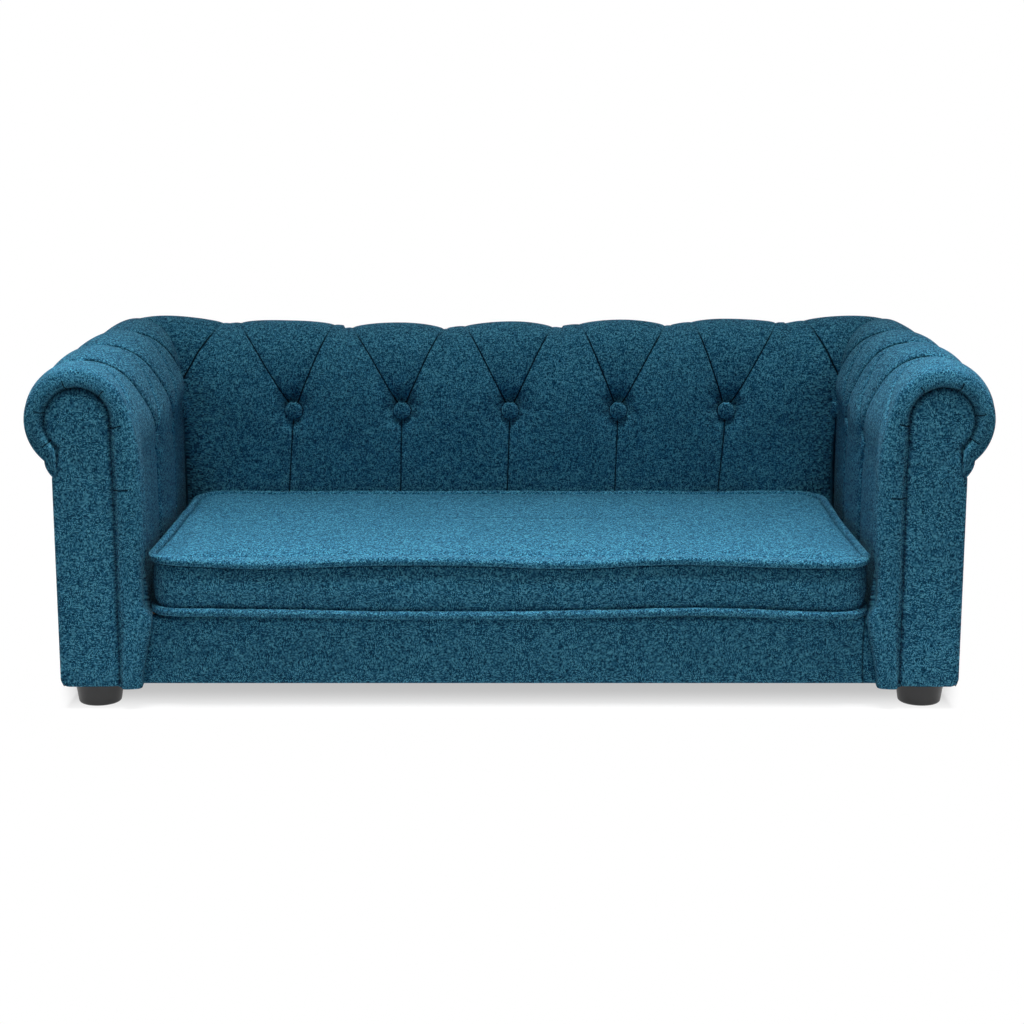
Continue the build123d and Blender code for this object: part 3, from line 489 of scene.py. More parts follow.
def foam_line(radius, pad_u):
    """The section of a padding line from under the roll, over it and down the pad to the deck."""
    rows = [(roll_u + radius * math.cos(turn), roll_z + radius * math.sin(turn))
            for turn in np.linspace(lip_angle, math.radians(165), 14)]
    return rows + [(pad_u + 0.004, 0.262), (pad_u + 0.001, 0.24), (pad_u, bend_z), (pad_u, None)]


# Points this near are one point. A pleat line or a run's end that far away is none.
weld = 0.00002
no_line = 0.02
no_end = 9.0
cover_wall = 0.0012


Tufting = namedtuple("Tufting", "scallop_depth pleat_depth pleat_half line_scale outer_start "
                                "button_depth full")


def half_pinch(share, power):
    return 1 - np.abs(2 * share - 1) ** power


def tufted_sink(place, climb, seen, tufts, pleats, crests, leans, cut, shake):
    """How far the cloth lies inside the plain section, with the lines of painted shade in its creases and
    round its buttons.
    tufts are the buttons' places along the run. For each gap between two of them, pleats gives where
    the left button's line, the dip and the right button's line cross the crest, and where the dip
    ends on the outer side. cut is a Tufting: the depths of the dips and the pleats, the pleats' and
    the painted shade lines' widths, where the outer shade lines start, the depth at a button and how full
    the puffs are."""
    scallop_depth, pleat_depth, pleat_half, line_scale, outer_start, button_depth, full = cut
    rise = np.clip((seen - tuft_seen) / (crest_seen - tuft_seen), 0, 1)
    past = smooth(climb, crest_climb, crest_climb + 0.045)
    over = smooth(climb, crest_climb + 0.05, lip_climb)
    drop = np.clip(tuft_climb - climb, 0, None)
    above = climb > tuft_climb
    lows, highs, dips = [], [], []
    for number, (low_end, crest_dip, high_end, outer_dip) in enumerate(pleats):
        dip = crest_dip + (outer_dip - crest_dip) * past
        left, right = tufts[number], tufts[number + 1]
        low = left + (low_end - left) * rise - leans[number] * drop / 0.085
        high = right + (high_end - right) * rise - leans[number + 1] * drop / 0.085
        lows.append(low + (dip - low) * past)
        highs.append(high + (dip - high) * past)
        dips.append(dip)
    calm = np.ones(place.shape)
    for tuft in tufts:
        calm = calm * (1 - 0.9 * bell(np.hypot(place - tuft, climb - tuft_climb), 0.018))
    sink = np.where(above, 0.0030 * (1 - rise), 0.0026)
    inside = np.zeros(place.shape, bool)
    nearest = np.full(place.shape, 1.0)
    for low, high in zip(lows, highs):
        width = np.maximum(high - low, 1e-6)
        here = (place > low) & (place < high)
        share = np.clip((place - low) / width, 0, 1)
        puff = full * np.minimum(0.0054, 0.08 * width) * half_pinch(share, 2.6) * (1 - 0.8 * rise)
        sink = np.where(here, sink - puff * calm * (1 - 0.5 * smooth(climb, -0.06, -0.14)), sink)
        inside |= here
        nearest = np.minimum(nearest, np.minimum(np.abs(place - low), np.abs(place - high)))
    for number in range(len(tufts)):
        left = highs[number - 1] if number > 0 else tufts[0] - 0.09 * rise
        right = lows[number] if number < len(tufts) - 1 else tufts[-1] + 0.09 * rise
        width = np.maximum(right - left, 1e-6)
        here = above & (place >= left) & (place <= right) & ~inside
        share = np.clip((place - left) / width, 0, 1)
        puff = full * np.minimum(0.0042, 0.06 * width) * half_pinch(share, 2.0) * (1 - 0.6 * rise**2)
        sink = np.where(here, sink - puff * calm, sink)
    ends = [dips[0] - 0.15] + dips + [dips[-1] + 0.15]
    for number, (left, right) in enumerate(zip(ends, ends[1:])):
        share = np.clip((place - left) / (right - left), 0, 1)
        if number == 0:
            share = np.clip(share, 0.5, 1)
        if number == len(ends) - 2:
            share = np.clip(share, 0, 0.5)
        scallop = scallop_depth * np.abs(2 * share - 1) ** 2.2 - crests[number]
        here = (place >= left) & (place < right)
        sink = np.where(here, sink + scallop * rise**1.6 * (1 - 0.35 * over), sink)
    hollow = pleat_depth * np.exp(-nearest / pleat_half) + 0.0007 * np.exp(-nearest / 0.007)
    sink = sink + hollow * (1 - 0.35 * rise) * (1 - 0.5 * over)
    # Distance to each button's rim, where a ring of painted shade is drawn.
    rims = np.full(place.shape, 0.02)
    for number, tuft in enumerate(tufts):
        across, up = place - tuft, climb - tuft_climb
        radius = np.hypot(across, np.where(up > 0, up / 1.25, up))
        bowl = bell(radius, 0.0150) + 0.22 * bell(radius, 0.028)
        sink = sink + button_depth * bowl
        sink = sink + 0.5 * button_depth * np.exp(-((across / 0.0115) ** 2) - ((up - 0.0125) / 0.0085) ** 2)
        spokes = np.cos(7 * np.arctan2(up, across) + 1.7 * number + shake)
        sink = sink + 0.0007 * spokes * bell(radius - 0.019, 0.008)
        rims = np.minimum(rims, np.hypot(across, up) - 0.0096)
    ripple = np.sin(place * 61 + climb * 23 + shake) + np.sin(place * 37 - climb * 71 + 2 * shake)
    sink = sink + 0.0003 * ripple * smooth(climb, -0.12, 0.0)
    # Distances to the lines of painted crease shade: slanting pleats above the buttons, upright folds below
    # them, and the dips rolled over the crest.
    far = np.full(place.shape, no_line)
    slanting, upright, rolled = far.copy(), far.copy(), far.copy()
    side = np.where(inside, -1.0, 1.0)
    slanting = np.where(above & (nearest < no_line), line_scale * nearest * side, far)
    fading = 1 - 0.8 * smooth(rise, 0.8, 0.97) * (outer_start > 0.01)
    for number, tuft in enumerate(tufts):
        signed = (place - (tuft - leans[number] * drop / 0.085)) * (1 if number % 2 else -1)
        upright = np.where(np.abs(signed) < np.abs(upright), signed, upright)
    for number, dip in enumerate(dips):
        signed = (place - dip) * (1 if number % 2 else -1)
        rolled = np.where(np.abs(signed) < np.abs(rolled), signed, rolled)
    rolled = rolled * line_scale
    beyond = climb > crest_climb + outer_start
    # A ring of painted shade round each button.
    painted_ring_shade = rims < 0.006
    rolled = np.where(painted_ring_shade, rims, rolled)
    distance = np.stack([slanting, np.where(above, no_line, upright),
                         np.where(beyond | painted_ring_shade, rolled, no_line)], -1)
    clear = np.where(rims < 0.001, 0.0, 1.0)
    weight = np.stack([np.where(above & ~beyond, fading * clear, 0), np.where(above, 0, 0.9 * clear),
                       np.where(beyond, 0.95, np.where(painted_ring_shade, 0.95, 0))], -1)
    return sink, distance, weight, lows + highs


def snapped(place, lines, step):
    """Moves the nearest column of each row onto each pleat line, so that the fold is a clean edge."""
    place = place.copy()
    rows = np.arange(place.shape[0])
    for line in lines:
        gap = np.abs(place - line)
        nearest = gap.argmin(axis=1)
        target = line[rows, nearest]
        shift = target - place[rows, nearest]
        good = np.abs(shift) < step
        place[rows[good], nearest[good]] = target[good]
    return place


def pick(piece):
    """Makes a piece the active one and the only one selected."""
    bpy.ops.object.select_all(action="DESELECT")
    piece.select_set(True)
    bpy.context.view_layer.objects.active = piece


def edit_all(piece, operation, **settings):
    """Runs a mesh operation on the whole of a piece."""
    pick(piece)
    bpy.ops.object.mode_set(mode="EDIT")
    bpy.ops.mesh.select_all(action="SELECT")
    operation(**settings)
    bpy.ops.object.mode_set(mode="OBJECT")


def cover_mesh(name, world, uv, distance, weight, caps=True):
    """A closed shell from rows and columns of places: a grid rolled up, its ends filled."""
    rows, columns = world.shape[:2]
    bpy.ops.object.select_all(action="DESELECT")
    bpy.ops.mesh.primitive_grid_add(x_subdivisions=columns - 1, y_subdivisions=rows - 1, size=1)
    made = bpy.context.object
    made.name = name
    flat = np.empty(rows * columns * 3)
    made.data.vertices.foreach_get("co", flat)
    flat = flat.reshape(-1, 3)
    column = np.rint((flat[:, 0] + 0.5) * (columns - 1)).astype(int)
    row = np.rint((flat[:, 1] + 0.5) * (rows - 1)).astype(int)
    made.data.vertices.foreach_set("co", world[row, column].ravel())
    corners = np.empty(len(made.data.loops), int)
    made.data.loops.foreach_get("vertex_index", corners)
    made.data.uv_layers[0].data.foreach_set("uv", uv[row, column][corners].ravel())
    # Distances to the lines where shade is painted, and how dark each is painted.
    for key, values in (("painted_shade_distance", distance), ("painted_shade_weight", weight)):
        layer = made.data.attributes.new(key, "FLOAT_VECTOR", "POINT")
        layer.data.foreach_set("vector", values[row, column].ravel())
    edit_all(made, bpy.ops.mesh.remove_doubles, threshold=weld)
    if caps:
        edit_all(made, bpy.ops.mesh.fill_holes, sides=0)
    edit_all(made, bpy.ops.mesh.normals_make_consistent, inside=False)
    made.data.polygons.foreach_set("use_smooth", [True] * len(made.data.polygons))
    return made


def grid_piece(name, places, uv, caps=False):
    """A skin from rows and columns of places, welded where its edges meet."""
    plain = np.zeros(places.shape)
    return cover_mesh(name, places, uv, plain + no_line, plain, caps)


def add_piece(piece, body, finish, slot, *nodes):
    piece.data.materials.clear()
    piece.data.materials.append(finish)
    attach(piece, body)
    if nodes:
        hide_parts(*nodes)
    return piece


def corner_swell(climb, share):
    """Outward and upward push of the roll where it is stuffed fuller, by share of the full push."""
    body = smooth(climb, 0.02, 0.09) * (1 - smooth(climb, crest_climb + 0.07, lip_climb))
    return 0.009 * body * share, 0.0045 * body * share


def to_mitre(place, reach, mitres):
    """Places of a run's columns at an outward reach, its ends stretched to lie in the mitres."""
    moved = place.copy()
    for corner in mitres:
        side = math.copysign(1, corner)
        share = smooth(side * place, abs(corner) - 0.045, abs(corner) + roll_u)
        moved = moved + side * (reach - roll_u) * share
    return moved


def cover(name, nominal, tufts, pleats, crests, leans, cut, mitres, fullness, seat, set_back, band=None,
          shake=0):
    """Tufted cover along a run. nominal are the columns' places on the crest, mitres the run's
    inner corners, fullness the roll's extra stuffing at a place, set_back how far the inner face
    lies behind its plane at a place and height, seat turns (place, outward, up)
    into the sofa's own axes, and band, where there is one, is the front edge round the facing."""
    def wide(rows):
        """Each measure of the rows of a section, repeated for every column. None becomes NaN."""
        return [np.repeat(column[:, None], len(nominal), 1) for column in np.array(rows, float).T]

    climb, u, z, normal_u, normal_z = wide(outer_rows())
    place = np.repeat(nominal[None, :], len(climb), 0)
    low = np.full_like(place, deck_z)
    if band:
        low = np.where(place > band["strip_start"], strip_z, deck_z)
    on_face = np.isnan(z)
    face_z = bend_z + climb * (bend_z - low)
    z = np.where(on_face, face_z, z)
    climb = np.where(on_face, face_z - bend_z, climb)
    step = nominal[len(nominal) // 2 + 1] - nominal[len(nominal) // 2]

    moved = to_mitre(place, u, mitres)
    seen = z + slant_seen * u
    facts = (climb, seen, tufts, pleats, crests, leans, cut, shake)
    moved = snapped(moved, tufted_sink(moved, *facts)[3], step)
    sink, distance, weight = tufted_sink(moved, *facts)[:3]
    for corner in mitres:
        side = math.copysign(1, corner)
        past = np.clip((abs(corner) + u) - side * moved, 0, None)
        low_part = 1 - smooth(climb, tuft_climb + 0.02, crest_climb - 0.02)
        depth = 0.0045 + 0.0085 * low_part
        pull = 0.0040 * bell(climb - tuft_climb, 0.024)
        reach = 0.0125 + 0.004 * low_part
        over = smooth(climb, crest_climb, lip_climb)
        sink = sink + (depth + pull) * np.exp(-past / reach) * (1 - 0.5 * over)
    sink = sink + set_back(moved, z) * (1 - smooth(climb, 0.0, 0.05))
    if band:
        sink = sink * (1 - smooth(moved, band["edge"] - 0.02, band["edge"]))
        lean = band["lean_top"] + (band["lean_low"] - band["lean_top"]) * np.clip((0.088 - z) / 0.061, 0, 1)
        lean = lean * (1 - smooth(z, 0.086, 0.102))
        lean = lean + 0.0032 * smooth(z, 0.088, 0.102) * (1 - smooth(z, 0.135, 0.165))
        lean = lean * smooth(moved, band["strip_start"] - 0.05, band["strip_start"])
        u = u + lean
    room = foam_u - 0.001 - (foam_u - roll_radius + foam_radius) * smooth(climb, 0.02, bend_length)
    near = 0.7 * room
    sink = np.where(sink > near, room - (room - near) * np.exp(-(sink - near) / (room - near)), sink)
    sink = sink * (1 - smooth(climb, lip_climb - 0.012, lip_climb + 0.006))
    out, up = corner_swell(climb, fullness(moved))
    u = u + out - normal_u * sink
    z = z + up - normal_z * sink
    final = moved + to_mitre(place, u, mitres) - to_mitre(place, u + normal_u * sink - out, mitres)
    uv = np.stack([moved, climb], -1)
    back_u, back_z = wide(foam_line(foam_radius, foam_u))
    back_z = np.where(np.isnan(back_z), low[: back_z.shape[0]], back_z)
    back_place = to_mitre(np.repeat(nominal[None, :], back_u.shape[0], 0), back_u, mitres)
    back_place = np.clip(back_place, None, band["board"] if band else no_end)
    if band:
        final, u, z, uv, distance, weight, back_place, back_u, back_z = band["add"](
            final, u, z, climb, uv, distance, weight, back_place, back_u, back_z
        )
    place_all = np.vstack([final, back_place, final[:1]])
    u_all = np.vstack([u, back_u, u[:1]])
    z_all = np.vstack([z, back_z, z[:1]])
    extra = len(place_all) - len(final)
    uv_all = np.concatenate([uv, np.repeat(uv[-1:], extra, 0)])
    distance_all = np.concatenate([distance, np.full((extra,) + distance.shape[1:], no_line)])
    weight_all = np.concatenate([weight, np.zeros((extra,) + weight.shape[1:])])
    return cover_mesh(name, seat(place_all, u_all, z_all), uv_all, distance_all, weight_all)


back_tufts = [middle_of(f"back_button_{number}").x for number in range(2, 7)]
corner_tuft = middle_of("back_button_7").x + 0.001
back_posts = [-corner_tuft] + back_tufts + [corner_tuft]
back_pleats = [
    (-0.3216, -0.3138, -0.3004, -0.3138), (-0.1967, -0.1845, -0.1756, -0.1845),
    (-0.0741, -0.0700, -0.0496, -0.0700), (0.0468, 0.0585, 0.0786, 0.0585),
    (0.1727, 0.1811, 0.2045, 0.1811), (0.2970, 0.3071, 0.3294, 0.3071),
]
back_crests = [0.0, 0.0, -0.0028, -0.0020, 0.0002, 0.0014, 0.0]
back_leans = [0.0, 0.006, 0.002, 0.003, 0.003, 0.0075, 0.0]
crest_half = arm_face + roll_u
back_columns = np.linspace(-crest_half, crest_half, 501)


def back_seat(place, outward, up):
    return np.stack([place, back_face + outward, up], -1)


back_cover = cover(
    "back_tufted_cover", back_columns, back_posts, back_pleats, back_crests, back_leans,
    Tufting(scallop_depth=0.0052, pleat_depth=0.0015, pleat_half=0.0017, line_scale=0.88,
            outer_start=0.044, button_depth=0.0098, full=1.0), mitres=[-arm_face, arm_face], seat=back_seat,
    set_back=lambda place, height: 0.0,
    fullness=lambda place: smooth(np.abs(place), 0.24, 0.39), shake=0.6,
)
add_piece(back_cover, "sofa", cloth_with_painted_shade, "upholstery", "back_cover")


def foam_piece(name, nominal, mitres, seat, end, *nodes):
    """The foam behind a tufted cover, pressed between the cloth and the wood."""
    skin = foam_line(foam_radius - 0.0002, foam_u + 0.0002)
    wood_side = foam_line(wood_radius, wood_u)[::-1]
    section = [(u, deck_z + 0.0005 if z is None else z) for u, z in skin + wood_side + skin[:1]]
    u, z = (np.repeat(np.array(section)[:, axis:axis + 1], len(nominal), 1) for axis in range(2))
    place = to_mitre(np.repeat(nominal[None, :], len(section), 0), u, mitres)
    place = np.clip(place, -end[0], end[1])
    plain = np.zeros(u.shape + (3,))
    piece = cover_mesh(name, seat(place, u, z), np.stack([place, z], -1), plain + no_line, plain)
    add_piece(piece, "sofa", foam, "foam", *nodes)


foam_piece("back_pressed_foam", back_columns[::10], [-arm_face, arm_face], back_seat, (no_end, no_end),
           "back_foam")

# Arm covers: the same cloth and tufting, turned over the front edge and gathered into the seam round
# the facing with short pleats.
arm_button_low, arm_button_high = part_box("arm_buttons_right")
button_half = (middle_of("back_button_4").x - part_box("back_button_4")[0].x)
arm_tufts = [-arm_button_high.y + button_half, -arm_button_low.y - button_half]
edge_round = 0.006
front_place = -front_y
board_place = -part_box("arm_front_board_right")[0].y
facing_radius = 0.0291
facing_u = 0.0287
shoulder_z = 0.222


def facing_side(u, z, climb):
    """The point of the seam round the facing that a point of the section is drawn to."""
    angle = np.arctan2(z - roll_z, u - roll_u)
    head_u = roll_u + facing_radius * np.cos(angle)
    head_z = roll_z + facing_radius * np.sin(angle)
    turn_u = roll_u + facing_radius * math.cos(turn_angle)
    turn_z = roll_z + facing_radius * math.sin(turn_angle)
    share = np.clip(climb / bend_length, 0, 1)
    side_z = shoulder_z + (turn_z - shoulder_z) * share
    side_u = np.where(side_z < roll_z, facing_u + 0.0008,
                      roll_u - np.sqrt(np.clip(facing_radius**2 - (side_z - roll_z) ** 2, 0, None)))
    side_u = facing_u + (np.clip(side_u, None, turn_u) - facing_u) * smooth(share, 0.0, 0.3)
    on_side = climb < bend_length
    goal_u = np.where(on_side, side_u, head_u)
    goal_z = np.where(on_side, side_z, head_z)
    straight = climb < 0
    goal_u = np.where(straight, facing_u, goal_u)
    goal_z = np.where(straight, z - (bend_z - shoulder_z) * smooth(z, 0.15, bend_z), goal_z)
    tucked = climb > lip_climb
    along_neck = np.clip((climb - lip_climb) / 0.012, 0, 1)
    goal_u = np.where(tucked, 0.0755 + 0.0022 * along_neck**2, goal_u)
    goal_z = np.where(tucked, 0.2523 - 0.0265 * along_neck, goal_z)
    return goal_u, goal_z


def front_band(creases):
    """Adds the columns that round the front edge and cross to the seam, with short pleats and painted shade
    along them.
    """
    turns = np.radians(np.linspace(0, 90, 7)[1:])
    shares = np.linspace(0, 1, 13)[1:]

    def add(place, u, z, climb, uv, distance, weight, back_place, back_u, back_z):
        last_u, last_z, last_climb = u[:, -1], z[:, -1], climb[:, -1]
        goal_u, goal_z = facing_side(last_u, last_z, last_climb)
        reach = np.hypot(goal_u - last_u, goal_z - last_z)
        crease = np.zeros_like(last_climb)
        for spot in creases:
            crease += bell(last_climb - spot, 0.0016)
        columns = []
        for turn in turns:
            inset = edge_round * (1 - math.cos(turn))
            forward = edge_round * math.sin(turn)
            columns.append((np.full_like(last_u, inset), np.full_like(last_u, forward)))
        for share in shares:
            inset = edge_round + (reach - edge_round) * share
            swell = 0.0016 * math.sin(math.pi * min(share * 1.1, 1))
            seam_drop = 0.0078 * float(smooth(share, 0.62, 0.93))
            pleat = 0.0013 * crease * math.sin(math.pi * min(1.0, 0.25 + share * 0.75)) ** 0.5
            pucker = 0.0003 * np.sin(last_climb * 900 + 3 * share) * share
            forward = edge_round + swell - seam_drop - pleat * (share > 0.3) + pucker
            forward = np.maximum(forward, edge_round - 0.0076)
            columns.append((inset, forward))
        for inset, forward in columns:
            part = (inset / np.maximum(reach, 1e-6))
            place = np.column_stack([place, np.full_like(last_u, board_edge) + forward])
            u = np.column_stack([u, last_u + (goal_u - last_u) * part])
            z = np.column_stack([z, last_z + (goal_z - last_z) * part])
            new_uv = np.stack([uv[:, -1, 0] + 0.002, uv[:, -1, 1]], -1)
            uv = np.concatenate([uv, new_uv[:, None, :]], 1)
            distance = np.concatenate([distance, np.full((len(last_u), 1, 3), no_line)], 1)
            weight = np.concatenate([weight, np.zeros((len(last_u), 1, 3))], 1)
            back_place = np.column_stack([back_place, back_place[:, -1]])
            back_u = np.column_stack([back_u, back_u[:, -1]])
            back_z = np.column_stack([back_z, back_z[:, -1]])
        # Painted shade along each short pleat of the band.
        for spot in creases:
            signed = last_climb - spot
            near = np.abs(signed) < 0.004
            count = len(columns)
            block = distance[:, -count + 8:-1, 2]
            block[near] = signed[near][:, None]
            weight[:, -count + 8:-1, 2] = np.where(near[:, None], 0.9, weight[:, -count + 8:-1, 2])
        return place, u, z, uv, distance, weight, back_place, back_u, back_z

    return add


def on_roll(degrees_from_top):
    """Climb of a place on the roll, by its angle from the crest, outward positive."""
    return crest_climb + roll_radius * math.radians(degrees_from_top)


board_edge = front_place - edge_round
crest_start = -(back_face + roll_u)
arm_columns = np.concatenate([
    np.linspace(crest_start, front_place - 0.04, 236),
    np.linspace(front_place - 0.04, board_edge, 22)[1:],
])
for side, word, creases in (
    (-1, "left", (on_roll(16), on_roll(-43), on_roll(76), on_roll(127), -0.012, on_roll(-92))),
    (1, "right", (on_roll(-35), on_roll(26), on_roll(-90), on_roll(122), -0.02, on_roll(80))),
):
    posts = [-(back_face + 0.0165)] + arm_tufts + [front_place + 0.03]
    dips = ((-0.079, -0.050), (0.046, 0.036), (0.158, 0.143))
    if side > 0:
        dips = ((-0.082, -0.070), (0.020, 0.014), (0.128, 0.130))
    pleats = [(crest - 0.004, crest, crest + 0.004, outer) for crest, outer in dips]

    def arm_seat(place, outward, up, side=side):
        return np.stack([side * (arm_face + outward), -place, up], -1)

    arm = cover(
        f"arm_tufted_cover_{word}", arm_columns, posts, pleats, [0.0, 0.0005, 0.0, 0.0],
        [0.0, 0.0, 0.0, 0.0],
        Tufting(scallop_depth=0.0042, pleat_depth=0.0052, pleat_half=0.0028, line_scale=0.30,
                outer_start=0.0, button_depth=0.0018, full=0.55),
        mitres=[-back_face], seat=arm_seat,
        set_back=lambda place, height: (0.0056 + 0.0100 * smooth(-place, 0.018, 0.064))
        * (1 - smooth(place, 0.190, 0.212)) - 0.004 * smooth(place, 0.206, 0.222)
        * smooth(height, 0.145, 0.165) * (1 - smooth(height, 0.20, 0.23)),
        fullness=lambda place: 1 - np.exp(-np.clip(board_edge - place, 0, None) / 0.055),
        band={
            "edge": board_edge, "strip_start": 0.2125, "board": board_place - 0.0005,
            "lean_top": -0.006, "lean_low": 0.006, "add": front_band(creases),
        },
        shake=1.9 * side,
    )
    add_piece(arm, "sofa", cloth_with_painted_shade, "upholstery", f"arm_cover_{word}")
    foam_piece(f"arm_pressed_foam_{word}", arm_columns[::8], [-back_face], arm_seat,
               (no_end, board_place), f"arm_foam_{word}")

# Facings. A flat padded panel of the same cloth in the shape of a keyhole closes the front of each arm.
# It is nailed on through its padding and sits in a deep seam inside the gathered edge of the arm cover.
def thicken(piece, thickness):
    """Gives a skin its cloth, on the inner side."""
    pick(piece)
    wall = piece.modifiers.new("cloth", "SOLIDIFY")
    wall.thickness = thickness
    wall.offset = -1
    bpy.ops.object.modifier_apply(modifier="cloth")
    return piece


def even_points(points, spacing, closed=True):
    """Points at even steps along a line through the given ones, and their distance along it."""
    points = np.array(points)
    if closed:
        points = np.vstack([points, points[:1]])
    reach = np.concatenate([[0], np.cumsum(np.hypot(*np.diff(points, axis=0).T))])
    count = int(round(reach[-1] / spacing)) + 1
    steps = np.linspace(0, reach[-1], count)
    return np.stack([np.interp(steps, reach, points[:, axis]) for axis in range(2)], -1), steps


def arc(middle_u, middle_z, radius, start, end, count):
    turns = np.radians(np.linspace(start, end, count))
    return [(middle_u + radius * math.cos(turn), middle_z + radius * math.sin(turn)) for turn in turns]


facing_line = [(0.0275, 0.0213), (0.052, 0.0206)] + arc(0.0752, 0.0288, 0.0083, -90, 0, 9)
facing_line += [(0.0835, 0.12)] + arc(0.0785, 0.2215, 0.005, 0, 80, 6)
facing_line += [(0.0780, 0.2385)] + arc(roll_u, roll_z, 0.0302, -52, 172, 60) + [(0.0272, 0.222)]
outline, along = even_points(facing_line, 0.0021)
facing_depth = (-0.2243, -0.2312)
for side, word in ((-1, "left"), (1, "right")):
    centre = np.stack([
        0.0555 + 0.0025 * smooth(outline[:, 1], 0.2, 0.27), np.clip(outline[:, 1], 0.045, roll_z)
    ], -1)
    reach = np.hypot(*(centre - outline).T)
    rows = []
    back_y, front_panel_y = facing_depth
    for share in (1.0, 0.5, 0.04):
        spot = outline + (centre - outline) * share
        rows.append((spot, np.full(len(outline), back_y)))
    for turn in np.linspace(0, 90, 7):
        inward = 0.0038 * (1 - math.cos(math.radians(turn)))
        forward = (back_y - front_panel_y - 0.0006) * math.sin(math.radians(turn))
        rows.append((outline + (centre - outline) * (inward / reach)[:, None],
                     np.full(len(outline), back_y - forward)))
    for share in (0.17, 0.21, 0.27, 0.36, 0.48, 0.62, 0.8, 1.0):
        spot = outline + (centre - outline) * share
        crown = 0.0006 + 0.0012 * share
        tight = 0.00028 * np.cos(along * 2 * math.pi / 0.0155 + side) * math.exp(-share * 5)
        rows.append((spot, back_y - (back_y - front_panel_y - 0.0006) - crown - tight))
    places, flat = [], []
    for number, (spot, y) in enumerate(rows):
        u, z = spot[:, 0], spot[:, 1]
        if number > 3:
            high_fold = bell(z - 0.225 - (u - 0.05), 0.006)
            low_fold = bell(z - 0.055 - 1.4 * (u - 0.03), 0.005)
            soft = 0.0005 * np.sin(z * 38 + u * 25 + side) + 0.0006 * high_fold
            y = y + soft * (number > 9) + 0.0009 * low_fold * (number > 10)
        places.append(np.stack([side * (arm_face + u), y, z], -1))
        flat.append(np.stack([u * side, z], -1))
    facing = grid_piece(f"facing_{word}", np.array(places), np.array(flat))
    add_piece(facing, "sofa", plain_cloth, "upholstery", f"arm_facing_{word}")

# Outside panels. One flat piece of cloth on the outer side of each arm and one across the back, tacked
# along a cardboard strip under the roll, pulled tight over the frame and turned under the rails.
outer_low, outer_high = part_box("arm_outside_right")
rear_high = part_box("back_outside")[1]
levels = np.concatenate([np.linspace(outer_low.z + 0.0003, outer_high.z - 0.03, 54),
                         np.linspace(outer_high.z - 0.03, outer_high.z, 20)[1:]])


def pulled(along, level, seed):
    """How far a stretched panel stands off its plane: slow waves, and pull marks below the tacks."""
    slow = 0.0003 * np.sin(along * 17 + seed) * np.sin(level * 21 + seed)
    marks = np.cos(along * 2 * math.pi / 0.031 + 1.3 * np.sin(along * 29 + seed))
    under_roll = 0.00035 * marks * np.exp(-(outer_high.z - level) / 0.014)
    over_rail = 0.00025 * marks * np.exp(-(level - outer_low.z) / 0.008)
    return slow + under_roll + over_rail


def rounded_edge(distance, radius):
    inside = np.clip(radius - distance, 0, radius)
    return radius - np.sqrt(np.clip(radius**2 - inside**2, 0, None))


def outside_panel(name, run, gap, plane, seed, seat, node):
    """One panel along a run: gap is a place's distance from the edge that is turned in, plane the
    panel's outer face, and seat turns (along, off, level) into the sofa's own axes."""
    along_grid, level_grid = np.meshgrid(run, levels)
    off = plane + pulled(along_grid, level_grid, seed) - rounded_edge(gap(along_grid), 0.004)
    off = off - rounded_edge(level_grid - outer_low.z, 0.003)
    panel = grid_piece(name, np.stack(seat(along_grid, off, level_grid), -1),
                       np.stack([along_grid, level_grid], -1))
    thicken(panel, cover_wall)
    add_piece(panel, "sofa", plain_cloth, "upholstery", node)


for side, word in ((-1, "left"), (1, "right")):
    outside_panel(
        f"outside_panel_{word}", np.linspace(outer_low.y + 0.0002, outer_high.y, 150),
        lambda along: outer_high.y - along, outer_high.x, 2.0 * side,
        lambda along, off, level: [side * off, along, level],
        f"arm_outside_{word}",
    )
outside_panel(
    "outside_panel_back", np.linspace(-outer_high.x, outer_high.x, 290),
    lambda along: outer_high.x - np.abs(along), rear_high.y, 0.7,
    lambda along, off, level: [along, off, level],
    "back_outside",
)

# Front rail cover. A strip of the same cloth over thin wadding, pulled down over the front rail under the
# cushion and closed to each arm in a seam that slants outwards to the floor.
rail_low, rail_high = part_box("front_rail_cover")
seam_top, seam_low = 0.352, 0.362
section = [(rail_low.y + 0.012, rail_high.z)]
section += [(rail_low.y + 0.004 - 0.004 * math.sin(turn), rail_high.z - 0.004 + 0.004 * math.cos(turn))
            for turn in np.radians(np.linspace(0, 90, 8))]
section += [(rail_low.y, rail_high.z - 0.01), (rail_low.y, rail_low.z + 0.005)]
section += [(rail_low.y + 0.003 - 0.003 * math.cos(turn), rail_low.z + 0.0035 - 0.003 * math.sin(turn))
            for turn in np.radians(np.linspace(0, 90, 6))]
section += [(rail_low.y + 0.011, rail_low.z + 0.0005)]
path, down = even_points(section, 0.0018, closed=False)
run = np.linspace(-1, 1, 300)
share_grid, down_grid = np.meshgrid(run, down)
y_grid, z_grid = (np.repeat(path[:, axis:axis + 1], len(run), 1) for axis in range(2))
half_width = seam_top + (seam_low - seam_top) * (rail_high.z - z_grid) / (rail_high.z - rail_low.z)
x_grid = share_grid * half_width
front_face = smooth(down_grid, 0.010, 0.022) * (1 - smooth(down_grid, 0.062, 0.074))
to_seam = half_width - np.abs(x_grid) - 0.012
fold = bell(to_seam - 0.010 - 0.10 * (z_grid - rail_low.z), 0.0022)
wave = 0.0004 * np.sin(x_grid * 19 + 1.1) * np.sin(z_grid * 60)
wave = wave + 0.00025 * np.sin(x_grid * 47 - z_grid * 30)
tuck = 0.002 * np.exp(-np.clip(to_seam, 0, 1) / 0.004)
y_grid = y_grid + front_face * (wave - 0.0006 + 0.0012 * fold + tuck)
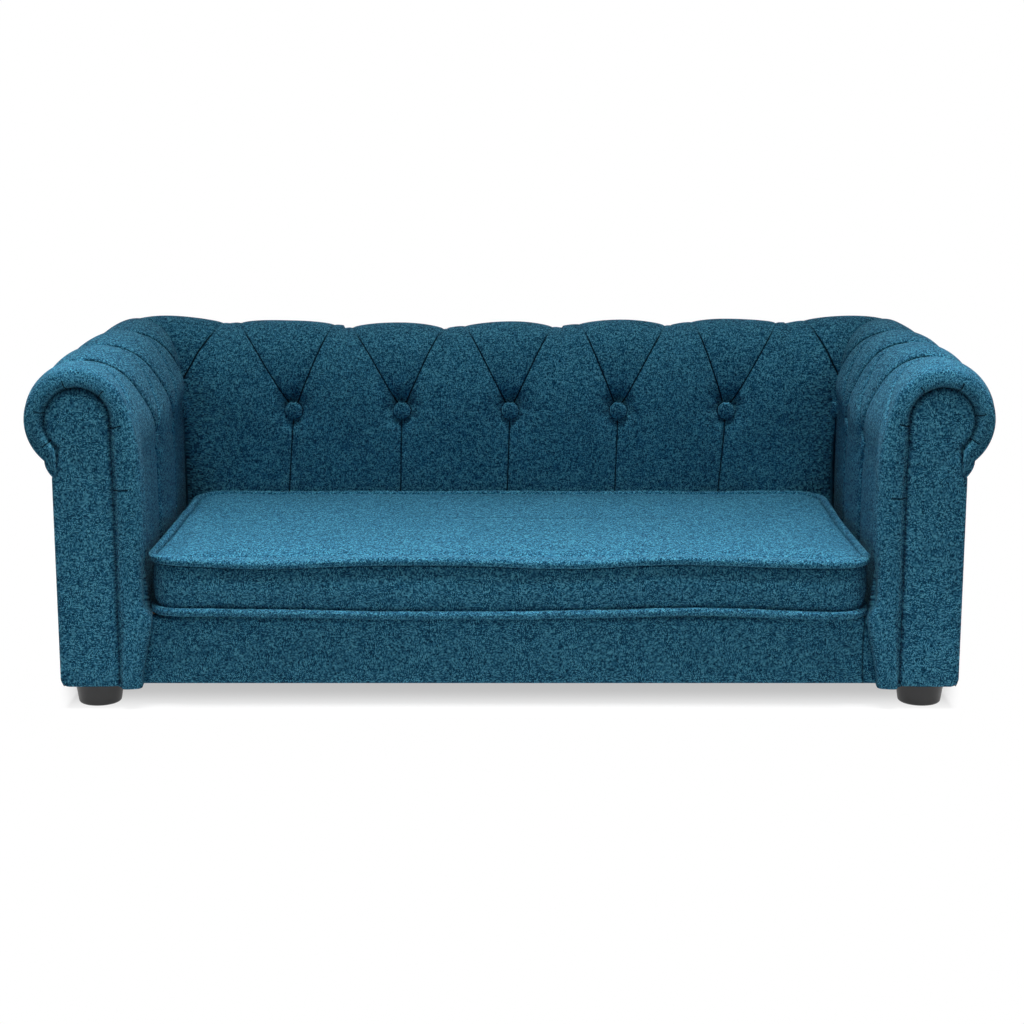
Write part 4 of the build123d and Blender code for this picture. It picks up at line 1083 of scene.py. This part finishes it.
end_seam = x_grid - 0.3366 - 0.0006 * np.sin(z_grid * 90)
y_grid = y_grid + front_face * 0.0012 * bell(end_seam, 0.0016)
# A line of painted shade along each end seam of the strip.
seam_shade_distance = np.dstack([end_seam, 0 * end_seam + 0.02, 0 * end_seam + 0.02])
seam_shade_weight = np.dstack([0 * end_seam + 0.75, 0 * end_seam, 0 * end_seam])
rail_cover = cover_mesh("front_rail_panel", np.stack([x_grid, y_grid, z_grid], -1),
                        np.stack([x_grid, down_grid], -1), seam_shade_distance, seam_shade_weight, False)
thicken(rail_cover, cover_wall)
add_piece(rail_cover, "sofa", cloth_with_painted_shade, "upholstery", "front_rail_cover")

# Buttons. Domed steel shells covered in scraps of the same cloth, seven along the back and two in each
# arm, pulled down into the padding by their twine.
button_low, button_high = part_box("back_button_4")
button_radius = (button_high.x - button_low.x) / 2
button_height = button_high.y - button_low.y


def covered_button(name, middle, facing, seed):
    """A button with its rim on the padding: facing is the way that its dome looks."""
    turns = np.linspace(0, 2 * math.pi, 49)
    profile = [(1.0, 0.0), (0.5, 0.0)][::-1] + [(1.0 + 0.02 * math.sin(a), 0.2 * (1 - math.cos(a)))
                                             for a in np.linspace(0.4, 2.2, 6)]
    profile += [(math.sin(a), 0.32 + 0.68 * math.cos(a)) for a in np.linspace(1.35, 0, 15)]
    profile = [(0.0, 0.0)] + profile
    rows, flat = [], []
    for reach, height in profile:
        pucker = 1 + 0.022 * np.cos(11 * turns + seed + 0.8 * np.sin(3 * turns + seed)) * (reach > 0.75)
        reach_here = button_radius * reach * pucker
        x, y = reach_here * np.cos(turns), reach_here * np.sin(turns)
        rows.append(np.stack([x, y, np.full_like(x, button_height * height)], -1))
        flat.append(np.stack([x, y], -1))
    button = grid_piece(name, np.array(rows), np.array(flat))
    facing = np.array(facing) / np.linalg.norm(facing)
    sideways = np.cross((0, 0, 1), facing)
    turned = np.stack([sideways, (0, 0, 1), facing])
    points = np.empty(len(button.data.vertices) * 3)
    button.data.vertices.foreach_get("co", points)
    button.data.vertices.foreach_set("co", (points.reshape(-1, 3) @ turned + np.array(middle)).ravel())
    button.data.update()
    return button


for number in range(1, 8):
    spot = middle_of(f"back_button_{number}")
    lean = {1: (1, -1, 0), 7: (-1, -1, 0)}.get(number, (0, -1, 0))
    way = np.array(lean) / np.linalg.norm(lean)
    base = np.array(spot) - way * button_height / 2
    button = covered_button(f"covered_back_button_{number}", base, lean, number * 1.7)
    add_piece(button, "sofa", plain_cloth, "upholstery", f"back_button_{number}")
for side, word in ((-1, "left"), (1, "right")):
    pair = [
        covered_button(f"covered_arm_buttons_{word}",
                       (side * (arm_face + 0.0115), -place, middle_of("back_button_4").z),
                       (-side, 0, 0), place * 40) for place in arm_tufts
    ]
    pick(pair[0])
    pair[1].select_set(True)
    bpy.ops.object.join()
    add_piece(pair[0], "sofa", plain_cloth, "upholstery", f"arm_buttons_{word}")

# Platform and dust cover. Black cloth is stretched over the deck under the cushion, and a thin black
# spun cloth is stapled under the base.
black_tints = ((0.006, 0.006, 0.007, 1), (0.018, 0.018, 0.020, 1), (0.045, 0.045, 0.050, 1))
platform_cloth = cloth_material("platform_cloth", tints=black_tints, threads=1100.0, sheen=0.1)
for name, node, slot, wave, support in (
    ("platform_cover", "deck_cover", "deck_cloth", 0.00022, ["deck_foam"]),
    ("underside_cover", "dust_cover", "dust_cloth", 0.00025, ["base_front_rail", "base_back_rail"]),
):
    low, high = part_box(node)
    across, deep = np.meshgrid(np.linspace(low.x, high.x, 170), np.linspace(low.y, high.y, 84))
    ripple = wave * (np.sin(across * 33 + deep * 11) * np.sin(deep * 41) - 1)
    edge_gap = np.minimum(np.minimum(across - low.x, high.x - across),
                          np.minimum(deep - low.y, high.y - deep))
    gathers = wave * np.cos((across + deep) * 2 * math.pi / 0.042) * np.exp(-edge_gap / 0.02)
    if node == "deck_cover":
        level = high.z + ripple + gathers - wave
    else:
        level = low.z - ripple + gathers + wave
    sheet = grid_piece(name, np.stack([across, deep, level], -1), np.stack([across, deep], -1))
    if (sheet.data.polygons[0].normal.z > 0) != (node == "deck_cover"):
        edit_all(sheet, bpy.ops.mesh.flip_normals)
    thicken(sheet, 0.0005)
    add_piece(sheet, "sofa", platform_cloth, slot, node)

# Feet. Short round charcoal plastic feet, each screwed up into its corner of the base, with a satin
# moulded skin and a rounded floor edge.
plastic, tree, shader = new_material("charcoal_foot_plastic")
grain = noise_at(tree, object_place(tree), 1600.0, 3.0)
cloud = noise_at(tree, object_place(tree), 60.0, 2.0)
tone_between(tree, shader, cloud, (0.016, 0.016, 0.017, 1), (0.027, 0.027, 0.028, 1))
vary_roughness(tree, shader, grain, 0.34, 0.48)
raise_surface(tree, shader, grain, 0.25, 0.0002)
dress(plastic, "foot_front_left", "foot_front_right", "foot_rear_left", "foot_rear_right")

# Seat cushion. A loose foam block in a sewn cover: top and bottom panels joined to a boxing strip by a
# piping cord in the same cloth, with a zip in the rear boxing. The filling is blown up as cloth to find
# how the panels swell between the seams.
piping_middle_high = middle_of("cushion_piping_top").z + 0.0024
piping_middle_low = middle_of("cushion_piping_bottom").z + 0.0016
piping_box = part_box("cushion_piping_top")
cord_radius = 0.0041
ring_half = piping_box[1].x + 0.0034
ring_front, ring_rear = piping_box[0].y + 0.0028, piping_box[1].y - 0.0034
ring_corner = 0.034
draw_in = 0.003
crown, bulge = 0.0068, 0.0060


def ring_line(inset):
    """The seam line seen from above, drawn in along the front and the sides."""
    half, front = ring_half - inset, ring_front + inset
    rear, radius = ring_rear - inset, ring_corner - inset
    corners = []
    for x, y, start in ((half, rear, 0), (-half, rear, 90), (-half, front, 180), (half, front, 270)):
        turn_x = x - math.copysign(radius, x)
        turn_y = y - radius if y == rear else y + radius
        corners += arc(turn_x, turn_y, radius, start, start + 90, 14)
    points, reach = even_points(corners, 0.0045)
    x, y = points[:, 0], points[:, 1]
    middle_y = (front + rear) / 2
    front_share = np.clip(1 - (x / half) ** 2, 0, 1) * (y < front + 0.02)
    side_share = np.clip(1 - ((y - middle_y) / (rear - middle_y)) ** 2, 0, 1) * (np.abs(x) > half - 0.02)
    x = x - np.sign(x) * draw_in * side_share
    y = y + draw_in * front_share
    return np.stack([x, y], -1), reach


seam, seam_reach = ring_line(0)
seam_columns = len(seam)
spine_y = np.full(seam_columns, (ring_front + ring_rear) / 2)
spine = np.stack([np.clip(seam[:, 0], -0.17, 0.17), spine_y], -1)
high_wave = 0.0018 * np.cos(24 * (seam[:, 0] + 0.09)) * (seam[:, 1] < 0)
high_wave = high_wave + 0.0004 * np.sin(seam[:, 0] * 41 + 2)
low_wave = 0.0024 * np.cos(14 * (seam[:, 0] + 0.28)) + 0.0004 * np.sin(seam[:, 0] * 37 + 1)

block_rows = [np.column_stack([spine, np.full(seam_columns, piping_middle_low)])]
for level in np.linspace(piping_middle_low, piping_middle_high, 5):
    block_rows.append(np.column_stack([seam + (spine - seam) * 0.012, np.full(seam_columns, level)]))
block_rows.append(np.column_stack([spine, np.full(seam_columns, piping_middle_high)]))
block = grid_piece("filling_shape", np.array(block_rows), np.zeros((7, seam_columns, 2)))
voxel = 0.0065
remesh = block.modifiers.new("even_mesh", "REMESH")
remesh.mode = "VOXEL"
remesh.voxel_size = voxel
bpy.ops.object.modifier_apply(modifier="even_mesh")
points = np.empty(len(block.data.vertices) * 3)
block.data.vertices.foreach_get("co", points)
points = points.reshape(-1, 3)
sewn = block.vertex_groups.new(name="sewn")
edge_x = ring_half - np.abs(points[:, 0])
edge_y = np.minimum(points[:, 1] - ring_front, ring_rear - points[:, 1])
near_edge = (np.minimum(edge_x, edge_y) < 0.009) | (
    np.hypot(np.clip(0.036 - edge_x, 0, 1), np.clip(0.036 - edge_y, 0, 1)) > 0.027
)
near_level = np.minimum(np.abs(points[:, 2] - piping_middle_low),
                        np.abs(points[:, 2] - piping_middle_high)) < 0.005
sewn.add([int(i) for i in np.nonzero(near_edge & near_level)[0]], 1.0, "REPLACE")
cloth = block.modifiers.new("swelling", "CLOTH")
cloth.settings.use_pressure = True
cloth.settings.uniform_pressure_force = 3.5
cloth.settings.effector_weights.gravity = 0
cloth.settings.vertex_group_mass = "sewn"
cloth.settings.tension_stiffness = cloth.settings.compression_stiffness = 25
cloth.settings.quality = 6
for number in range(1, 21):
    scene.frame_set(number)
bpy.ops.object.modifier_apply(modifier="swelling")
scene.frame_set(1)
surface = BVHTree.FromObject(block, bpy.context.evaluated_depsgraph_get())


def swelling(starts, direction):
    """How far the blown-up filling lies from each start, along the direction."""
    found = []
    for start, way in zip(starts, direction):
        hit = surface.ray_cast(start, way, 0.3)[0]
        found.append(np.nan if hit is None else (np.array(hit) - start) @ way)
    return np.array(found)


def top_panel(name, level, up, swell, node):
    shares = np.array([0.013, 0.018, 0.025, 0.034, 0.045, 0.058, 0.072] + list(np.linspace(0.09, 1, 40)))
    spots = seam[None] + (spine - seam)[None] * shares[:, None, None]
    flat = spots.reshape(-1, 2)
    inner = (piping_middle_high + piping_middle_low) / 2
    starts = np.column_stack([flat, np.full(len(flat), inner)])
    rise = swelling(starts, np.tile((0.0, 0.0, up), (len(flat), 1)))
    rise = np.nan_to_num(rise, nan=float(np.nanmedian(rise)))
    edge = (piping_middle_high - piping_middle_low) / 2
    rise = np.clip(rise - edge, 0, None).reshape(spots.shape[:2])
    rise[:, -1] = rise[:, 0]
    rise = (rise / max(rise.max(), 1e-6)) ** 0.5 * swell
    wave = (high_wave if up > 0 else low_wave)[None]
    x, y = spots[..., 0], spots[..., 1]
    inward = np.hypot(*np.moveaxis(spots - seam[None], -1, 0))
    start_rise = 0.0028 * smooth(inward, 0.0035, 0.012) - 0.0008
    rise = rise * smooth(inward, 0.003, 0.018)
    allowance = 0.0007 * smooth(inward, 0.0125, 0.0105) * smooth(inward, 0.003, 0.006)
    soft = 0.0004 * np.sin(x * 21 + y * 9) * np.sin(y * 27 - x * 5 + 1)
    soft = soft * smooth(inward, 0.004, 0.03)
    z = level + up * (rise + allowance + soft + start_rise) + wave * np.clip(1 - shares * 4, 0, 1)[:, None]
    if up < 0:
        z = np.clip(z, cushion_floor, None)
    piece = grid_piece(name, np.stack([x, y, z], -1), spots)
    return outward(piece, 2, up, node)


def outward(piece, axis, sign, node):
    """Turns a skin's faces outwards, and gives it its cloth."""
    if sum(face.normal[axis] * face.area for face in piece.data.polygons) * sign < 0:
        edit_all(piece, bpy.ops.mesh.flip_normals)
    thicken(piece, cover_wall)
    add_piece(piece, "cushion", plain_cloth, "upholstery", node)
    return piece


cushion_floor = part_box("cushion_bottom_panel")[0].z + 0.0001
top_panel("cushion_top", piping_middle_high, 1, crown, "cushion_top_panel")
top_panel("cushion_underside", piping_middle_low, -1, 0.0012, "cushion_bottom_panel")

boxing_levels = np.linspace(piping_middle_low + 0.002, piping_middle_high - 0.002, 22)
tangent = np.roll(seam, -1, 0) - np.roll(seam, 1, 0)
tangent[0] = tangent[-1] = seam[1] - seam[-2]
away = np.stack([tangent[:, 1], -tangent[:, 0]], -1) / np.hypot(*tangent.T)[:, None]
rows = []
for level in boxing_levels:
    starts = np.column_stack([seam - away * 0.02, np.full(seam_columns, level)])
    ways = np.column_stack([away, np.zeros(seam_columns)])
    rows.append(swelling(starts, ways))
swell = np.nan_to_num(np.array(rows), nan=0.02)
swell = np.clip(swell - np.median(swell[[0, -1]]), 0, None)
swell = swell / max(np.percentile(swell, 98), 1e-6) * bulge
swell[:, -1] = swell[:, 0]
share = (boxing_levels - boxing_levels[0]) / (boxing_levels[-1] - boxing_levels[0])
swell = swell * (np.clip(4 * share * (1 - share), 0, 1) ** 0.65)[:, None]
rear = (seam[:, 1] > ring_rear - 0.004)[None]
ripple = 0.0004 * np.sin(seam_reach * 31)[None] * np.sin(share * 3)[:, None]
reach_out = np.where(rear, 0.0, swell + ripple) - 0.0038
spots = seam[None] + away[None] * reach_out[..., None]
wave = high_wave[None] * share[:, None] + low_wave[None] * (1 - share)[:, None]
# A line of painted shade on the boxing just under the top piping cord.
shade_under_cord = boxing_levels[-1] - 0.0026 - boxing_levels[:, None] + 0 * wave
boxing = cover_mesh(
    "cushion_boxing_strip",
    np.dstack([spots, boxing_levels[:, None] + wave]),
    np.dstack([np.broadcast_to(seam_reach, wave.shape), boxing_levels[:, None] + 0 * wave]),
    np.dstack([shade_under_cord * 0.7, 0 * wave + 0.02, 0 * wave + 0.02]),
    np.dstack([0 * wave + 0.6, 0 * wave, 0 * wave]), False,
)
zip_low, zip_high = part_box("zip_tapes")
pick(boxing)
bpy.ops.object.mode_set(mode="EDIT")
bpy.ops.mesh.select_all(action="DESELECT")
bpy.ops.object.mode_set(mode="OBJECT")
zip_level = (zip_low.z + zip_high.z) / 2
for face in boxing.data.polygons:
    face.select = (face.center.y > ring_rear - 0.003 and abs(face.center.x) < zip_high.x - 0.001
                   and abs(face.center.z - zip_level) < 0.0092)
bpy.ops.object.mode_set(mode="EDIT")
bpy.ops.mesh.delete(type="FACE")
bpy.ops.object.mode_set(mode="OBJECT")
front_faces = [face for face in boxing.data.polygons if face.center.y < ring_front + 0.01]
if sum(face.normal.y for face in front_faces) > 0:
    edit_all(boxing, bpy.ops.mesh.flip_normals)
thicken(boxing, cover_wall)
add_piece(boxing, "cushion", cloth_with_painted_shade, "upholstery", "cushion_boxing")
bpy.data.objects.remove(block)

core_rows = []
for up, level, inside in ((-1, cushion_floor + 0.0016, (1.0, 0.5, 0.2, 0.07)),
                          (1, piping_middle_high - 0.0026, (0.07, 0.2, 0.5, 1.0))):
    for share in inside:
        rise = 0.0068 * share**0.5 * (up > 0)
        core_height = np.full(seam_columns, level + rise)
        core_rows.append(np.column_stack([seam + (spine - seam) * share, core_height]))
core = grid_piece("cushion_pressed_foam", np.array(core_rows),
                  np.zeros((len(core_rows), seam_columns, 2)), True)
add_piece(core, "cushion", foam, "foam", "cushion_foam")


def cord_along(name, line, heights, radius, sides=12):
    """A closed cord through the line, with its cloth cut on the bias."""
    ring = np.column_stack([line, heights])
    turns = np.linspace(0, 2 * math.pi, sides + 1)
    rows, flat = [], []
    for turn in turns:
        out = radius * math.cos(turn)
        rows.append(np.column_stack([ring[:, :2] + away * out, ring[:, 2] + radius * math.sin(turn)]))
        slant = radius * turn
        flat.append(np.stack([seam_reach + slant, seam_reach - slant], -1) / math.sqrt(2))
    return grid_piece(name, np.array(rows), np.array(flat))


for name, level, wave, node in (
    ("cushion_top_piping", piping_middle_high, high_wave, "cushion_piping_top"),
    ("cushion_low_piping", piping_middle_low, low_wave, "cushion_piping_bottom"),
):
    heights = level + wave
    if node == "cushion_piping_bottom":
        heights = np.clip(heights, cushion_floor + cord_radius, None)
    cord = cord_along(name, seam, heights, cord_radius)
    add_piece(cord, "cushion", plain_cloth, "upholstery", node)

# Zip. Two woven tapes with their nylon coils close the rear of the cushion cover; a small painted slider
# runs along them with a flat pull.
zip_paint, tree, shader = new_material("painted_zip_metal")
chips = noise_at(tree, object_place(tree), 1200.0, 3.0)
tone_between(tree, shader, chips, (0.016, 0.070, 0.110, 1), (0.050, 0.150, 0.210, 1))
set_values(shader, Metallic=0.4, Roughness=0.38)
raise_surface(tree, shader, chips, 0.15, 0.0001)
dress(zip_paint, "zip_slider", "zip_pull")
tape_cloth = cloth_material("zip_tape_cloth", threads=1700.0, sheen=0.1)
run = np.linspace(zip_low.x, zip_high.x, 1251)
half_steps = [0.00015, 0.0004, 0.0008, 0.0013, 0.0018, 0.0022, 0.0025, 0.004, 0.008, zip_high.z - zip_level]
offsets = np.array([-step for step in half_steps[::-1]] + half_steps)
along_grid, offset_grid = np.meshgrid(run, offsets)
turns = along_grid * 2 * math.pi / 0.0016 + math.pi * (offset_grid > 0)
coil = np.sqrt(np.clip(1 - ((np.abs(offset_grid) - 0.0013) / 0.0011) ** 2, 0, 1))
tape_middle = (zip_low.y + zip_high.y) / 2
level_grid = tape_middle + 0.0002 + coil * (0.0006 + 0.00018 * np.cos(turns))
tapes = grid_piece("zip_tape_pair", np.stack([along_grid, level_grid, zip_level + offset_grid], -1),
                   np.stack([along_grid, offset_grid], -1))
if sum(face.normal.y for face in tapes.data.polygons) < 0:
    edit_all(tapes, bpy.ops.mesh.flip_normals)
thicken(tapes, 0.0006)
add_piece(tapes, "cushion", tape_cloth, "zip_tape", "zip_tapes")
